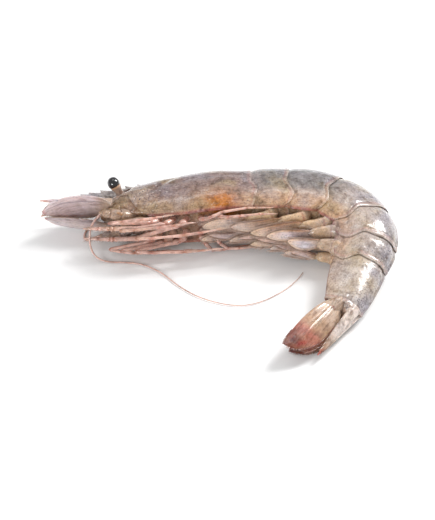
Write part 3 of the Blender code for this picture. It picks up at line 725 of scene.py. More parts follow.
def blade(spine, across, normal, edges, depth, ribs, camber, columns):
    """A thin blade: at each row of the spine a flat oval reaches from one edge to the other.

    With w running from -1 at the inner edge to 1 at the outer, its half depth is the given one times
    a power of 1 - w squared, more at each rib, and its middle bows out by the camber.
    """
    outer, inner = edges
    w = breadth(columns)
    reach = (outer + inner)[:, None] / 2 + (outer - inner)[:, None] / 2 * w
    share = np.linspace(0.0, 1.0, len(spine))[:, None]
    thick = depth[:, None] * np.ones((1, columns))
    for middle, width, height in ribs:
        thick = thick * (1.0 + height * hump(w, middle, width) * (1.0 - 0.7 * share))
    rise = np.sin(turns(columns))
    bowed = camber * (1.0 - w * w) * np.sin(math.pi * share)
    off = thick * np.sign(rise) * np.abs(rise) ** 0.8 + bowed
    return above_floor(spine[:, None, :] + reach[..., None] * across + off[..., None] * normal)


def blade_frame(root, tip, across, rows, bow=0.0):
    """Spine points from root to tip, with the directions across the blade and out of it."""
    forward = unit(tip - root)
    across = unit(across - forward * np.dot(across, forward))
    normal = np.cross(forward, across)
    share = np.linspace(0.0, 1.0, rows)
    spine = root + (tip - root) * share[:, None] + normal * (bow * np.sin(math.pi * share))[:, None]
    return share, spine, across, normal


def bristles(roots, ways, lengths, tint, thickness=BLADE_HAIR):
    """Fine hairs: each a three-sided needle with a bend halfway, from its root along its way."""
    total = len(roots) * HAIR_POINTS
    side = unit(np.cross(ways, np.array((0.21, 0.13, 0.97))))
    over = np.cross(ways, side)
    ring = rings(side, over, 3)
    base = roots[:, None, :] + ring * thickness
    middle = roots + ways * lengths[:, None] * 0.55
    waist = middle[:, None, :] + ring * thickness * 0.7
    tips = roots + ways * lengths[:, None] + over * lengths[:, None] * 0.08
    points = above_floor(np.concatenate((base, waist, tips[:, None, :]), axis=1))
    start = np.arange(0, total, HAIR_POINTS)[:, None, None]
    here = np.arange(3)
    there = (here + 1) % 3
    quads = start + np.stack((here, there, there + 3, here + 3), axis=-1)[None]
    sides = start + np.stack((here + 3, there + 3, np.full(3, 6)), axis=-1)[None]
    under = start + np.array((2, 1, 0))[None, None]
    return outward({
        "points": points.reshape(-1, 3),
        "quads": quads.reshape(-1, 4),
        "fans": np.concatenate((sides.reshape(-1, 3), under.reshape(-1, 3))),
        "tint": np.broadcast_to(linear(tint), (total, 3)),
        "speckle": np.zeros(total),
        "grain": np.zeros((total, 3)),
    })


def fringe(spine, across, edge, side, span, count, length, tint, seed, forward=0.7):
    """Bristles along one edge of a blade, leaning out and towards its tip."""
    draw = np.random.default_rng(seed)
    share = np.linspace(0.0, 1.0, len(spine))
    at = np.sort(draw.uniform(span[0], span[1], count))
    line = spine + across * (edge * 0.985)[:, None]
    roots = np.stack([np.interp(at, share, line[:, k]) for k in range(3)], axis=1)
    along = unit(np.gradient(line, axis=0))
    along = np.stack([np.interp(at, share, along[:, k]) for k in range(3)], axis=1)
    ahead = unit(spine[-1] - spine[0])
    out = unit(across * side - along * np.sum(across * side * along, axis=1)[:, None])
    lean = forward + draw.uniform(-0.12, 0.12, count)
    ways = unit(out + ahead * lean[:, None] + draw.normal(0.0, 0.06, (count, 3)))
    lengths = length * draw.uniform(0.75, 1.15, count) * (0.55 + 0.45 * ease(at, span[0], span[0] + 0.25))
    return bristles(roots, ways, lengths, tint)


def hairs_along(spine, ahead, seed, count, reach, lengths, first=30):
    """Bristles scattered over a limb, leaning towards its tip."""
    draw = np.random.default_rng(seed)
    pick = draw.integers(first, len(spine) - 8, count)
    ways = unit(ahead[pick] * 0.8 + draw.normal(0.0, 0.6, (count, 3)))
    return bristles(spine[pick] + ways * reach, ways, draw.uniform(*lengths, count), BRISTLE, LIMB_HAIR)


# Trunk

def section_profile():
    """The section's loop: the left half through its points, and the right half mirrored."""
    at = np.linspace(0.0, len(SECTION) - 1.0, (len(SECTION) - 1) * SECTION_STEPS + 1)
    x, y = (smooth(at, np.arange(len(SECTION)), [point[k] for point in SECTION]) for k in range(2))
    return np.concatenate((x, -x[-2:0:-1])), np.concatenate((y, y[-2:0:-1]))


PROFILE_X, PROFILE_Y = section_profile()


def skin(s, inset, fold=1.0):
    """Places on the trunk: the section at each distance, drawn in towards the axis by the inset."""
    low = FOLD_LEVEL + (PROFILE_Y - FOLD_LEVEL) * fold
    y = np.where(PROFILE_Y < FOLD_LEVEL, low, PROFILE_Y)
    keel = KEEL_HEIGHT * ease(s, KEEL_FROM, KEEL_FROM + 6.0) * hump(PROFILE_X, 0.0, 0.1)
    back = smooth(s, TRUNK_AT, BACK_HEIGHT) + keel
    up = np.where(y > 0, y * back, y * smooth(s, TRUNK_AT, BELLY_DEPTH))
    side = PROFILE_X * smooth(s, TRUNK_AT, HALF_WIDTH)
    shrink = 1.0 - inset / np.maximum(np.hypot(up, side), 1.5)
    places = body_point(s, up * shrink, side * shrink)
    places[..., 2] = np.maximum(places[..., 2], 0.0)
    return places


def rear_edge(lobe_at=LOBE_LEVEL, lobe_reach=LOBE_REACH):
    """How far a plate's rear edge reaches tailwards round the section: a lobe low on each flank."""
    lobe = lobe_reach * hump(PROFILE_Y, lobe_at, 0.28)
    hinge = HINGE_NOTCH * hump(PROFILE_Y, 0.0, 0.2)
    belly = BELLY_NOTCH * np.clip((-PROFILE_Y - 0.8) / 0.2, 0.0, 1.0)
    return lobe - hinge - belly


def plate_rows(front, rear, tuck, rise, count, rim):
    """Distance and inset of each row of a plate: tucked under in front, rising, and rolled in behind."""
    main = front + (rear - front) * np.linspace(0.0, 1.0, count)[:, None]
    step = rise * (1.0 - ease(main - front, 0.0, RISE_LENGTH))
    tuck_at, tuck_depth = np.transpose(tuck)[..., None]
    rim_at, rim_depth = np.transpose(rim)[..., None]
    level = np.ones_like(front)
    s = np.concatenate((front + tuck_at, main, rear + rim_at))
    return s, np.concatenate((tuck_depth * level, step, rim_depth * level))


def shell_colour(s, rear):
    """Colour of the trunk's shell over distance and height, and how thickly it is speckled.

    Each layer's weight is a product of smooth steps and bells over the distance, over the height as a share
    and over the distance from the plate's rear edge.
    """
    y = np.broadcast_to(PROFILE_Y, s.shape)
    wide = np.abs(PROFILE_X)
    bands = ease(np.cos(s * 2.9 + y * 1.8 + np.sin(s * 0.9)), 0.0, 0.9) * ease(y, -0.5, -0.1)
    vein = hump(PROFILE_X, 0.02, 0.07) * (PROFILE_Y > 0) * (0.7 + 0.3 * np.sin(s * 1.7))
    organ = hump(s, 25.0, 4.6) * hump(y, -0.76, 0.3)
    tint = layered(
        FLANK, s.shape,
        (BACK, 0.9 * ease(y, 0.05, 0.8)),
        (LOW_FLANK, 0.75 * fade(y, -0.75, -0.2) * ease(s, 20.0, 40.0)),
        (BELLY, 0.85 * fade(y, -0.83, -0.78) * (wide < 0.6)),
        (CARAPACE_FRONT, 0.85 * fade(s, -2.0, 15.0)),
        (CARAPACE_LOW, 0.85 * fade(y, -0.6, -0.1) * fade(s, 22.0, 33.0)),
        (TAIL_PALE, 0.6 * ease(s, 76.0, 84.0)),
        # Painted shade: the upper carapace and the upper flanks of the first two plates are darkened
        (CARAPACE_PAINTED_SHADE, 0.6 * ease(s, 2.0, 10.0) * fade(s, 30.0, 40.0) * ease(y, -0.75, -0.3)),
        (FLANK_PAINTED_SHADE, 0.6 * ease(s, 32.0, 38.0) * fade(s, 52.0, 62.0) * ease(y, -0.6, -0.1)),
        (VEIN, 0.26 * bands * fade(y, 0.35, 0.75) * ease(s, 31.0, 36.0) * fade(s, 54.0, 66.0)),
        # Painted shade on the sunken belly among the walking legs
        (BELLY_PAINTED_SHADE, 0.8 * (wide < 0.62) * fade(y, -0.84, -0.78) * fade(s, 20.0, 32.0)),
        (CARAPACE_LOW, 0.6 * hump(s, 22.0, 7.5) * hump(y, -0.65, 0.4)),
        (ORGAN_ORANGE, np.clip(1.3 * organ, 0.0, 0.97)),
        (VEIN, 0.5 * vein * ease(s, 27.0, 33.0) * fade(s, 88.0, 94.0)),
        (BLUE_BAND, 0.5 * hump(s, rear - 2.0, 1.1) * ease(y, 0.25, 0.8)),
        (MOUTH_TAN, 0.8 * ease(s - rear, -0.1, 0.4) * (s > 90.0)),
        (PLATE_EDGE, 0.55 * hump(s, rear - 0.25, 0.3)),
        (PLATE_RED, 0.35 * hump(s, rear - 0.75, 0.3)),
        (PLATE_RED, 0.8 * hump(y, -0.955, 0.04) * (wide > 0.6)),
    )
    speckle = 0.3 + 0.55 * ease(y, -0.1, 0.8) + 0.4 * fade(s, -2.0, 14.0) + 0.2 * fade(y, -0.9, -0.4)
    speckle = speckle + 0.55 * hump(s, rear - 1.9, 1.2) * ease(y, -0.5, 0.4)
    return tint, np.clip(speckle, 0.0, 1.0) + 0.8 * hump(s, 5.0, 6.0) * hump(y, -0.15, 0.4)


def groove(s, height, start, end, width):
    """Weight near the straight line from start to end, in distance and height, both in millimetres."""
    start, end = np.array(start), np.array(end)
    way = end - start
    t = np.clip(((s - start[0]) * way[0] + (height - start[1]) * way[1]) / np.dot(way, way), 0.0, 1.0)
    gap = np.hypot(s - start[0] - t * way[0], height - start[1] - t * way[1])
    return np.exp(-((gap / width) ** 2))


def carapace_relief(s):
    """Insets of the carapace: its grooves and ridges, the furrows beside the keel, and a bead low down."""
    half = np.where(PROFILE_Y > 0, smooth(s, TRUNK_AT, BACK_HEIGHT), smooth(s, TRUNK_AT, BELLY_DEPTH))
    height = PROFILE_Y * half
    wide = np.abs(PROFILE_X)
    relief = np.zeros_like(height)
    for start, end, width, depth in CARAPACE_GROOVES:
        relief = relief + depth * groove(s, height, start, end, width)
    beside_keel = 0.25 * hump(wide, 0.14, 0.07) * (PROFILE_Y > 0) * fade(s, 8.0, 19.0)
    bead = -0.1 * hump(PROFILE_Y, -0.93, 0.03)
    return relief * ease(wide, 0.25, 0.5) + beside_keel + bead + 0.07 * ripple(s, height, 4)


def make_carapace(material):
    """The carapace: the trunk's section from a scalloped front edge to a lobed rear edge, less its relief."""
    rear = CARAPACE_LENGTH + rear_edge(CARAPACE_LOBE_LEVEL, CARAPACE_LOBE) + OVERHANG
    front = smooth(PROFILE_Y, FRONT_EDGE_AT, FRONT_EDGE)
    s, inset = plate_rows(front, rear, CARAPACE_TUCK, 0.0, CARAPACE_ROWS, REAR_RIM)
    main = slice(len(CARAPACE_TUCK), -len(REAR_RIM))
    inset[main] += carapace_relief(s[main])
    tint, speckle = shell_colour(s, rear)
    surface = closed_grid(skin(s, inset), tint, speckle)
    add_piece("carapace_shell", surface, material, "shell", "carapace")


def make_face(material):
    """The head inside the carapace's front edge, with the lumps of the mouth and small palps below it.

    It is the trunk's section drawn in by a ripple, less behind the eyes and more in the furrows of the mouth.
    """
    s = np.linspace(-FACE_REACH, 6.5, FACE_ROWS)[:, None] * np.ones_like(PROFILE_X)
    inset = 0.45 + 0.22 * ripple(s * 1.6, PROFILE_Y * 9.0, 9)
    inset = inset - 0.4 * hump(PROFILE_Y, 0.25, 0.2) * hump(s, -3.0, 2.0)
    inset = inset + 0.35 * hump(PROFILE_Y, -0.28, 0.07) + 0.3 * hump(s, -1.8, 0.35) * (PROFILE_Y < -0.3)
    tint = layered(
        CARAPACE_FRONT, s.shape,
        (MOUTH_TAN, 0.8 * fade(PROFILE_Y, -0.6, 0.0)),
        (MOUTH_BROWN, 0.7 * hump(PROFILE_Y, -0.28, 0.1)),
    )
    parts = [closed_grid(skin(s, inset, 0.3), tint, 0.7)]
    for centre, radii, colour in MOUTH_LUMPS:
        parts += [ovoid(centre, radii, sign, colour) for sign in (1, -1)]
    for route in MOUTH_PALPS:
        for sign in (1, -1):
            places = mirrored(route, sign)
            palp = limb(places, PALP_SIZES, linear(MOUTH_TAN), count=40, sides=14, flat=0.6, speckle=0.6,
                        lumps=0.1)
            _, spine, ahead = follow(places, 60)
            parts += [palp, hairs_along(spine, ahead, 20 + sign, 90, 0.4, (0.5, 1.2), 10)]
    add_piece("face", merged(parts), material, "shell", "carapace")


def segment_relief(s, front, rear, seed):
    """Insets of one plate: a bead and a furrow along its rear edge, a knob at each hinge, soft unevenness."""
    behind = rear - s
    middle = np.sin(math.pi * np.clip((s - front) / (rear - front), 0.0, 1.0))
    relief = 0.08 * hump(behind, 1.0, 0.28) - 0.06 * hump(behind, 0.4, 0.3) - 0.16 * middle
    relief = relief - 0.22 * hump(behind, 1.7, 0.8) * hump(PROFILE_Y, 0.02, 0.09)
    relief = relief + 0.12 * hump(behind, 3.4, 0.9) * hump(PROFILE_Y, -0.1, 0.3)
    return relief + 0.06 * ripple(s, PROFILE_Y * 9.0, seed)


def make_segment(number, material):
    """A plate of the tail: the trunk's section, stepping up from under the plate in front, less its relief.

    The belly's fold is deepest at the middle of the plate, by a power of the distance from there.
    """
    borders = plate_borders()
    last = number == len(SEGMENT_LENGTHS)
    before = rear_edge(CARAPACE_LOBE_LEVEL, CARAPACE_LOBE) if number == 1 else rear_edge()
    behind = 0.35 * hump(PROFILE_Y, 0.6, 0.3) if last else rear_edge() + OVERHANG
    front = borders[number] + before
    rear = borders[number + 1] + behind
    rim = LAST_RIM if last else REAR_RIM
    s, inset = plate_rows(front, rear, FRONT_TUCK, RISE, LAST_ROWS if last else SEGMENT_ROWS, rim)
    main = slice(len(FRONT_TUCK), -len(rim))
    inset[main] += segment_relief(s[main], front, rear, 20 + number)
    share = np.clip((s - front) / (rear - front), 0.0, 1.0)
    fold = 0.4 if last else 1.1 - 0.95 * np.abs(2.0 * share - 1.0) ** 3.5
    tint, speckle = shell_colour(s, rear)
    surface = closed_grid(skin(s, inset, fold), tint, speckle)
    add_piece(f"segment_{number}", surface, material, "shell", f"abdomen_{number}")


def tooth_rise(s):
    """Height of the rostrum's teeth: each rises slowly from behind and drops in front."""
    total = np.zeros_like(s)
    for at in np.linspace(TOOTH_FIRST, TOOTH_LAST, TOOTH_COUNT):
        climb = np.clip((at + 0.7 * TOOTH_LENGTH - s) / TOOTH_LENGTH, 0.0, 1.0)
        drop = ease(s, at - 0.42 * TOOTH_LENGTH, at - 0.26 * TOOTH_LENGTH)
        total = np.maximum(total, TOOTH_HEIGHT * climb ** 1.4 * drop * (0.7 if at < -8.0 else 1.0))
    return total


def make_rostrum(material):
    """A toothed blade in the middle plane: a lens section between its lower edge and its toothed ridge."""
    s = np.linspace(22.0, -17.0, ROSTRUM_ROWS)[:, None]
    turn = turns(ROSTRUM_COLUMNS)[None, :]
    teeth = tooth_rise(s)
    top = smooth(s, ROSTRUM_AT, ROSTRUM_TOP)
    bottom = smooth(s, ROSTRUM_AT, ROSTRUM_BOTTOM)
    crest = np.clip(np.cos(turn), 0.0, 1.0)
    up = (top + bottom) / 2 + (top - bottom) / 2 * np.cos(turn) + teeth * crest ** 3
    side = smooth(s, ROSTRUM_AT, ROSTRUM_HALF) * np.sin(turn) * (1.0 - 0.55 * crest)
    places = place(s - 0.75 * teeth * crest ** 3, up, HEAD_LIFT + side)
    tint = layered(BACK, up.shape, (SCALE_DARK, 0.6 * fade(s, -16.0, -2.0)))
    add_piece("rostrum", closed_grid(places, tint, 0.7), material, "shell", "carapace")


# Head limbs

def make_eye(side, sign, material):
    """A short stout stalk that widens into a round black cornea, its radius the globe's past the neck."""
    root, end = mirrored((EYE_ROOT, EYE_END), sign)
    length = np.linalg.norm(end - root)
    share = 1.0 - (1.0 - np.linspace(0.0, 1.0, EYE_ROWS)) ** 1.6
    from_centre = length * (1.0 - share) - EYE_RADIUS
    globe = np.sqrt(np.clip(EYE_RADIUS ** 2 - from_centre ** 2, 0.0004, None))
    stalk = 1.12 + 0.42 * fade(from_centre, 0.9, 3.0) + 0.1 * hump(from_centre, 3.2, 0.5)
    radius = np.where(from_centre > 0.6, np.maximum(globe, stalk), globe)
    way = unit(end - root)
    across = unit(np.cross(way, np.array((0.0, 0.3, 1.0))))
    over = np.cross(way, across)
    turn = turns(EYE_COLUMNS)
    ring = across * np.cos(turn)[:, None] * 1.06 + over * np.sin(turn)[:, None] * 0.94
    places = (root + (end - root) * share[:, None])[:, None, :] + radius[:, None, None] * ring
    rim = -from_centre[:, None] + 0.3 * np.cos(turn)[None, :]
    turned = 3.0 * np.cos(turn)[None, :] + 2.0 * np.sin(turn)[None, :]
    tint = layered(
        EYE_STALK, places.shape[:2],
        (EYE_MARK, 0.7 * ease(ripple(share[:, None] * 16.0, turned, 33), 0.1, 0.35)),
        (EYE_RIM, 0.8 * hump(rim, -1.1, 0.22)),
        (CORNEA, ease(rim, -0.95, -0.7)),
    )
    add_piece(f"eyeball_{side}", closed_grid(places, tint), material, "eye", f"eye_{side}")


def make_scale(side, sign, material):
    """The antennal scale: a broad tapering blade, its straight outer edge ending in a spine, and a fringe."""
    root, tip, degrees = SCALES[side]
    slant = math.radians(degrees)
    way = head_point(0.0, -math.sin(slant), sign * math.cos(slant)) - head_point(0.0, 0.0, 0.0)
    root, tip = head_point(*root), head_point(*tip)
    share, spine, across, normal = blade_frame(root, tip, way, SCALE_ROWS, SCALE_BOW)
    outer = SCALE_WIDTH / 2 * smooth(share, SCALE_EDGE_AT, SCALE_OUTER)
    inner = SCALE_WIDTH / 2 * smooth(share, SCALE_EDGE_AT, SCALE_INNER)
    depth = 0.2 * (1.0 - 0.55 * share) + 0.5 * fade(share, 0.0, 0.14)
    places = blade(spine, across, normal, (outer, inner), depth, SCALE_RIBS, SCALE_CAMBER, SCALE_COLUMNS)
    w = breadth(SCALE_COLUMNS)
    down = share[:, None]
    streak = 0.5 + 0.5 * np.sin(w * 15.0 + down * 2.0)
    # Across the blade the colour darkens from the pale outer edge to the inner one as painted shade: the
    # middle colour, apart from its streaks, and the first dark layer over the lower inner half; the dark line
    # along the outer rib is the blade's own
    tint = layered(
        SCALE_PALE, places.shape[:2],
        (SCALE_MIDDLE, (0.3 + 0.6 * streak) * fade(w, -0.1, 0.75)),
        (SCALE_DARK, 0.85 * fade(w, -0.95, -0.2) * (0.35 + 0.65 * fade(down, 0.2, 0.75))),
        (SCALE_DARK, 0.5 * hump(w, 0.42, 0.07)),
        (BASE_TAN, 0.8 * fade(down, 0.1, 0.3)),
        (FAN_CRIMSON, 0.5 * ease(down, 0.93, 1.0)),
    )
    barb = np.array([spine[row] + across * outer[edge] * out for row, edge, out in SCALE_BARB])
    point = limb(barb, (0.26, 0.22, 0.03), linear(SCALE_PALE), count=16, sides=8)
    hairs = fringe(spine, across, inner, -1, (0.14, FRINGE_END), 460, 0.7, BRISTLE, 31 + sign)
    end = fringe(spine, across, outer, 1, (0.86, FRINGE_END), 150, 0.5, BRISTLE, 35 + sign)
    surface = merged([closed_grid(places, tint, 0.3), point, hairs, end])
    add_piece(f"scale_{side}", surface, material, "antennal_scale", f"antennal_scale_{side}")


def make_antennule(side, sign, material):
    """A feeler: a stalk pinched at three joints that tapers to a lash, a second lash, and loose hairs."""
    joints = (0.2, 0.4, 0.6)
    outer = mirrored(ANTENNULE_OUTER, sign)
    tint = jointed_tint(SCALE_PALE, LEG_JOINT, joints, WHIP_PINK)
    stalk = limb(outer, jointed(FEELER_SIZES, joints), tint, count=120, sides=16)
    inner = limb(mirrored(ANTENNULE_INNER, sign), LASH_SIZES, linear(WHIP_PINK), count=50, sides=10)
    draw = np.random.default_rng(50 + sign)
    _, spine, ahead = follow(outer[:3], 110)
    ways = unit(ahead * 0.8 + draw.normal(0.0, 0.55, (110, 3)))
    hairs = bristles(spine + ways * 0.5, ways, draw.uniform(0.9, 1.7, 110), BRISTLE)
    surface = merged([stalk, inner, hairs])
    add_piece(f"feeler_{side}", surface, material, "limbs", f"antennule_{side}")


def make_antenna(side, sign, material):
    """The antenna's stout base of three stepped segments, and the long whip that trails from it."""
    route = mirrored(ANTENNA_STALK, sign)
    radius = np.interp(np.linspace(0.0, 1.0, 120), *np.transpose(STALK_STEPS))
    seam = np.clip(np.abs(np.gradient(radius)) * 9.0, 0.0, 1.0)
    tint = layered(BASE_TAN, seam.shape, (MOUTH_BROWN, 0.8 * seam))
    stalk = limb(route, radius, tint, count=120, sides=24, flat=0.85, speckle=0.9, lumps=0.05)
    _, spine, ahead = follow(route, 60)
    thorn = spine[[16, 20, 27]] + np.array(STALK_THORN) * (1, 1, sign)
    tooth = limb(thorn, (0.6, 0.4, 0.05), linear(MOUTH_TAN), count=14, sides=8)
    hairs = hairs_along(spine, ahead, 40 + sign, 130, 1.1, (0.5, 1.1), 8)
    base = merged([stalk, tooth, hairs])
    add_piece(f"antenna_base_{side}", base, material, "limbs", f"antenna_stalk_{side}")
    route = np.array(WHIP_LEFT if sign > 0 else WHIP_RIGHT) + (SOCKET_X, SOCKET_Y, 0.0)
    route = np.concatenate((spine[-6:-4], route[1:]))
    pale = linear(WHIP_PINK) * 0.5 + linear(WHIP_PALE) * 0.5
    whip = limb(route, WHIP_SIZES, pale, count=460, sides=8, reference=(0.3, 0.2, 1.0))
    add_piece(f"whip_{side}", whip, material, "limbs", f"antenna_{side}")


def leg(route, sign, sizes, knuckles, count, flat, speckle, lumps):
    """A limb that bends only at its joints and at the knuckles, with the places and directions along it."""
    corners = mirrored(route, sign)
    joints = (*corner_shares(corners), *knuckles)
    places = kinked(corners)
    surface = limb(places, jointed(sizes, joints), jointed_tint(LEG_PALE, LEG_JOINT, joints), count=count,
                   sides=LEG_SIDES, flat=flat, speckle=speckle, lumps=lumps)
    _, spine, ahead = follow(places, count)
    return surface, spine, ahead


def make_legs(side, sign, material):
    """Walking legs, the first three with a swollen palm and two fingers, and the hairy jaw leg."""
    for number, route in enumerate(LEG_ROUTES, start=1):
        clawed = number <= CLAW_LEGS
        sizes, knuckle = (CLAWED_SIZES, 0.84) if clawed else (PLAIN_SIZES, 0.8)
        surface, spine, ahead = leg(route, sign, sizes, (knuckle,), LEG_POINTS, 0.82, 0.25, 0.04)
        parts = [surface]
        if clawed:
            aside = unit(np.cross(ahead[210], np.array((0.0, 1.0, 0.4))))
            finger = np.array([spine[row] + aside * gap for row, gap in FINGER])
            parts.append(limb(finger, (0.2, 0.22, 0.17, 0.04), linear(LEG_PALE), count=26, sides=10))
        parts.append(hairs_along(spine, ahead, 60 + number * 2 + sign, 70, 0.3, (0.4, 0.9)))
        add_piece(f"walking_leg_{side}_{number}", merged(parts), material, "limbs", f"leg_{side}_{number}")
    surface, spine, ahead = leg(MAXILLIPED_ROUTE, sign, MAXILLIPED_SIZES, (0.6, 0.8), 160, 0.75, 0.4, 0.05)
    parts = [surface, hairs_along(spine, ahead, 80 + sign, 420, 0.4, (0.8, 1.7))]
    add_piece(f"jaw_leg_{side}", merged(parts), material, "limbs", f"maxilliped_{side}")


# Swimming legs and tail fan

def pleopod_blade(begin, tip, across, half, bow, number, pale, glass_and_highlight):
    """One blade of a swimming leg: a long strap with red edges, dark lines lengthwise and a deep fringe.

    The spine sways a little to both sides, by a sine of the share along it.
    """
    share, spine, across, normal = blade_frame(begin, tip, across, PLEOPOD_ROWS, bow)
    spine = spine + across * (0.35 * np.sin(share * 4.5 + number))[:, None]
    outer = half * smooth(share, PLEOPOD_EDGE_AT, PLEOPOD_EDGE)
    inner = -0.88 * outer
    depth = 0.24 * (1.0 - 0.5 * share)
    places = blade(spine, across, normal, (outer, inner), depth, PLEOPOD_RIBS, 0.4, PLEOPOD_COLUMNS)
    w = breadth(PLEOPOD_COLUMNS)
    down = share[:, None]
    lines = ease(np.cos(w * 13.0 + 0.8 * np.sin(down * 5.0) + number), 0.35, 0.95)
    # The whitish patch in the middle of the blade is partly its glassy tone and partly a painted highlight
    tint = layered(
        PLEOPOD_OLIVE, places.shape[:2],
        (pale, 0.75 * ease(down, 0.1, 0.7)),
        (PLEOPOD_BROWN, 0.6 * lines * fade(down, 0.5, 0.98)),
        (PLEOPOD_GLASS_AND_HIGHLIGHT, glass_and_highlight * hump(down, 0.5, 0.3) * fade(np.abs(w), 0.4, 0.9)),
        (PLEOPOD_RED, 0.6 * ease(np.abs(w), 0.84, 0.97) * fade(down, 0.4, 0.95)),
    )
    span = (0.2, FRINGE_END)
    return [
        closed_grid(places, tint, 0.7, number * 5.0),
        fringe(spine, across, outer, 1, span, 260, 1.5, PLEOPOD_HAIR, 90 + number, 1.6),
        fringe(spine, across, inner, -1, span, 240, 1.4, PLEOPOD_HAIR, 190 + number, 1.6),
    ]


def make_pleopods(side, sign, material):
    """Swimming legs: a thick flattened base, then an outer and an inner blade, no two quite alike."""
    borders = plate_borders()
    squeeze = 1.0 if sign > 0 else RIGHT_SQUEEZE
    reach = PLEOPOD_SIDE * sign * squeeze
    half = PLEOPOD_WIDTH * squeeze / 2
    outward_way = np.array((0.0, 0.0, 1.0)) * sign
    for number, (along, up) in enumerate(PLEOPOD_TIPS, start=1):
        draw = np.random.default_rng(300 + number * 2 + sign)
        sway, stretch, turn = draw.uniform(-0.5, 0.5, 3)
        s = (borders[number] + borders[number + 1]) / 2
        depth = float(smooth(s, TRUNK_AT, BELLY_DEPTH))
        start = body_point(s + 0.8, -depth * 0.76, reach)
        bend = body_point(s - 0.4, -depth - PLEOPOD_CLEARANCE * 0.6, reach)
        tip = head_point(along - 0.6 + 1.6 * stretch, up, reach + 0.8 * sway)
        knee = bend + (tip - bend) * 0.36
        route = np.array((start, bend, bend + (tip - bend) * 0.12, knee))
        tint = jointed_tint(PLEOPOD_OLIVE, PLEOPOD_RED, (0.3, 0.98))
        base = limb(route, PLEOPOD_BASE, tint, count=50, sides=24, flat=half / 1.35,
                    reference=(0.0, 0.0, 1.0), speckle=0.9, lumps=0.06)
        begin = bend + (tip - bend) * 0.26
        lean = outward_way + np.array((0.12, 0.3, 0.0)) * turn
        inner_tip = begin + (tip - begin) * (0.84 + 0.1 * sway) - outward_way * half * 0.7
        seed = number * 4 + sign
        # The rear outer blades get a stronger whitish patch as a painted highlight
        glass_and_highlight_weight = 0.2 + 0.65 * (number > 3)
        parts = [base] + pleopod_blade(begin, tip, lean, half, -0.5 - 0.5 * turn, seed, PLEOPOD_PALE, glass_and_highlight_weight)
        parts += pleopod_blade(begin, inner_tip, lean, half * 0.6, 0.5 + 0.4 * sway, seed + 2, LEG_PALE, 0.3)
        name = f"swimming_leg_{side}_{number}"
        add_piece(name, merged(parts), material, "limbs", f"pleopod_{side}_{number}")


def fan_tint(share, w):
    """Colour of a fan blade: a pale root, an olive midrib, brown past the middle and a dark red tip."""
    return layered(
        FAN_BASE, np.broadcast_shapes(share.shape, w.shape),
        (FAN_MIDDLE, 0.85 * ease(share, 0.1, 0.5)),
        (FAN_OLIVE, 0.75 * hump(w, 0.0, 0.22) * ease(share, 0.05, 0.3)),
        (FAN_CRIMSON, 0.55 * hump(share, 0.68, 0.12)),
        (FAN_TIP, 0.95 * ease(share + 0.05 * w, 0.66, 0.88)),
        (FAN_CRIMSON, 0.8 * hump(share, 0.82, 0.07) * hump(w, -0.45, 0.25)),
    )


def make_tail_fan(material, shell):
    """The tail fan: four ribbed and cambered blades with fringes, the outer two with a stout root."""
    heading = float(np.interp(plate_borders()[-2], AXIS_AT, AXIS_HEADING))
    to_back = np.array((math.sin(heading), math.cos(heading), 0.0))
    upright = np.array((0.0, 0.0, 1.0))
    w = breadth(FAN_COLUMNS)
    for number, (name, (root, tip)) in enumerate(FAN_BLADES.items()):
        _, kind, side = name.split("_")
        width, edges, ribs, fringe_from = FAN_KINDS[kind]
        degrees, bow, camber = FAN_SIDES[side]
        slant = math.radians(degrees)
        way = upright * math.cos(slant) - to_back * math.sin(slant)
        share, spine, across, normal = blade_frame(place(*root), place(*tip), way, FAN_ROWS, bow)
        outer, inner = (width / 2 * smooth(share, FAN_EDGE_AT, edge) for edge in edges)
        depth = 0.2 * (1.0 - 0.5 * share) + 0.55 * fade(share, 0.0, 0.16)
        places = blade(spine, across, normal, (outer, inner), depth, ribs, camber, FAN_COLUMNS)
        parts = [
            closed_grid(places, fan_tint(share[:, None], w), 0.3, number * 9.0),
            fringe(spine, across, outer, 1, (fringe_from, FRINGE_END), 320, 0.7, FAN_HAIR, 130 + number),
            fringe(spine, across, inner, -1, (0.3, FRINGE_END), 520, 0.7, FAN_HAIR, 140 + number),
        ]
        if kind == "exopod":
            route = np.array([place(*point) for point in FAN_ROOTS[side]])
            tint = jointed_tint(FAN_BASE, PLATE_RED, (0.9,))
            parts.append(limb(route, FAN_ROOT_SIZES, tint, count=50, sides=24, flat=0.66, reference=to_back,
                              speckle=0.5, lumps=0.05))
        add_piece(name.replace("uropod", "fan"), merged(parts), material, "tail", name)
    make_telson(to_back, upright, shell)


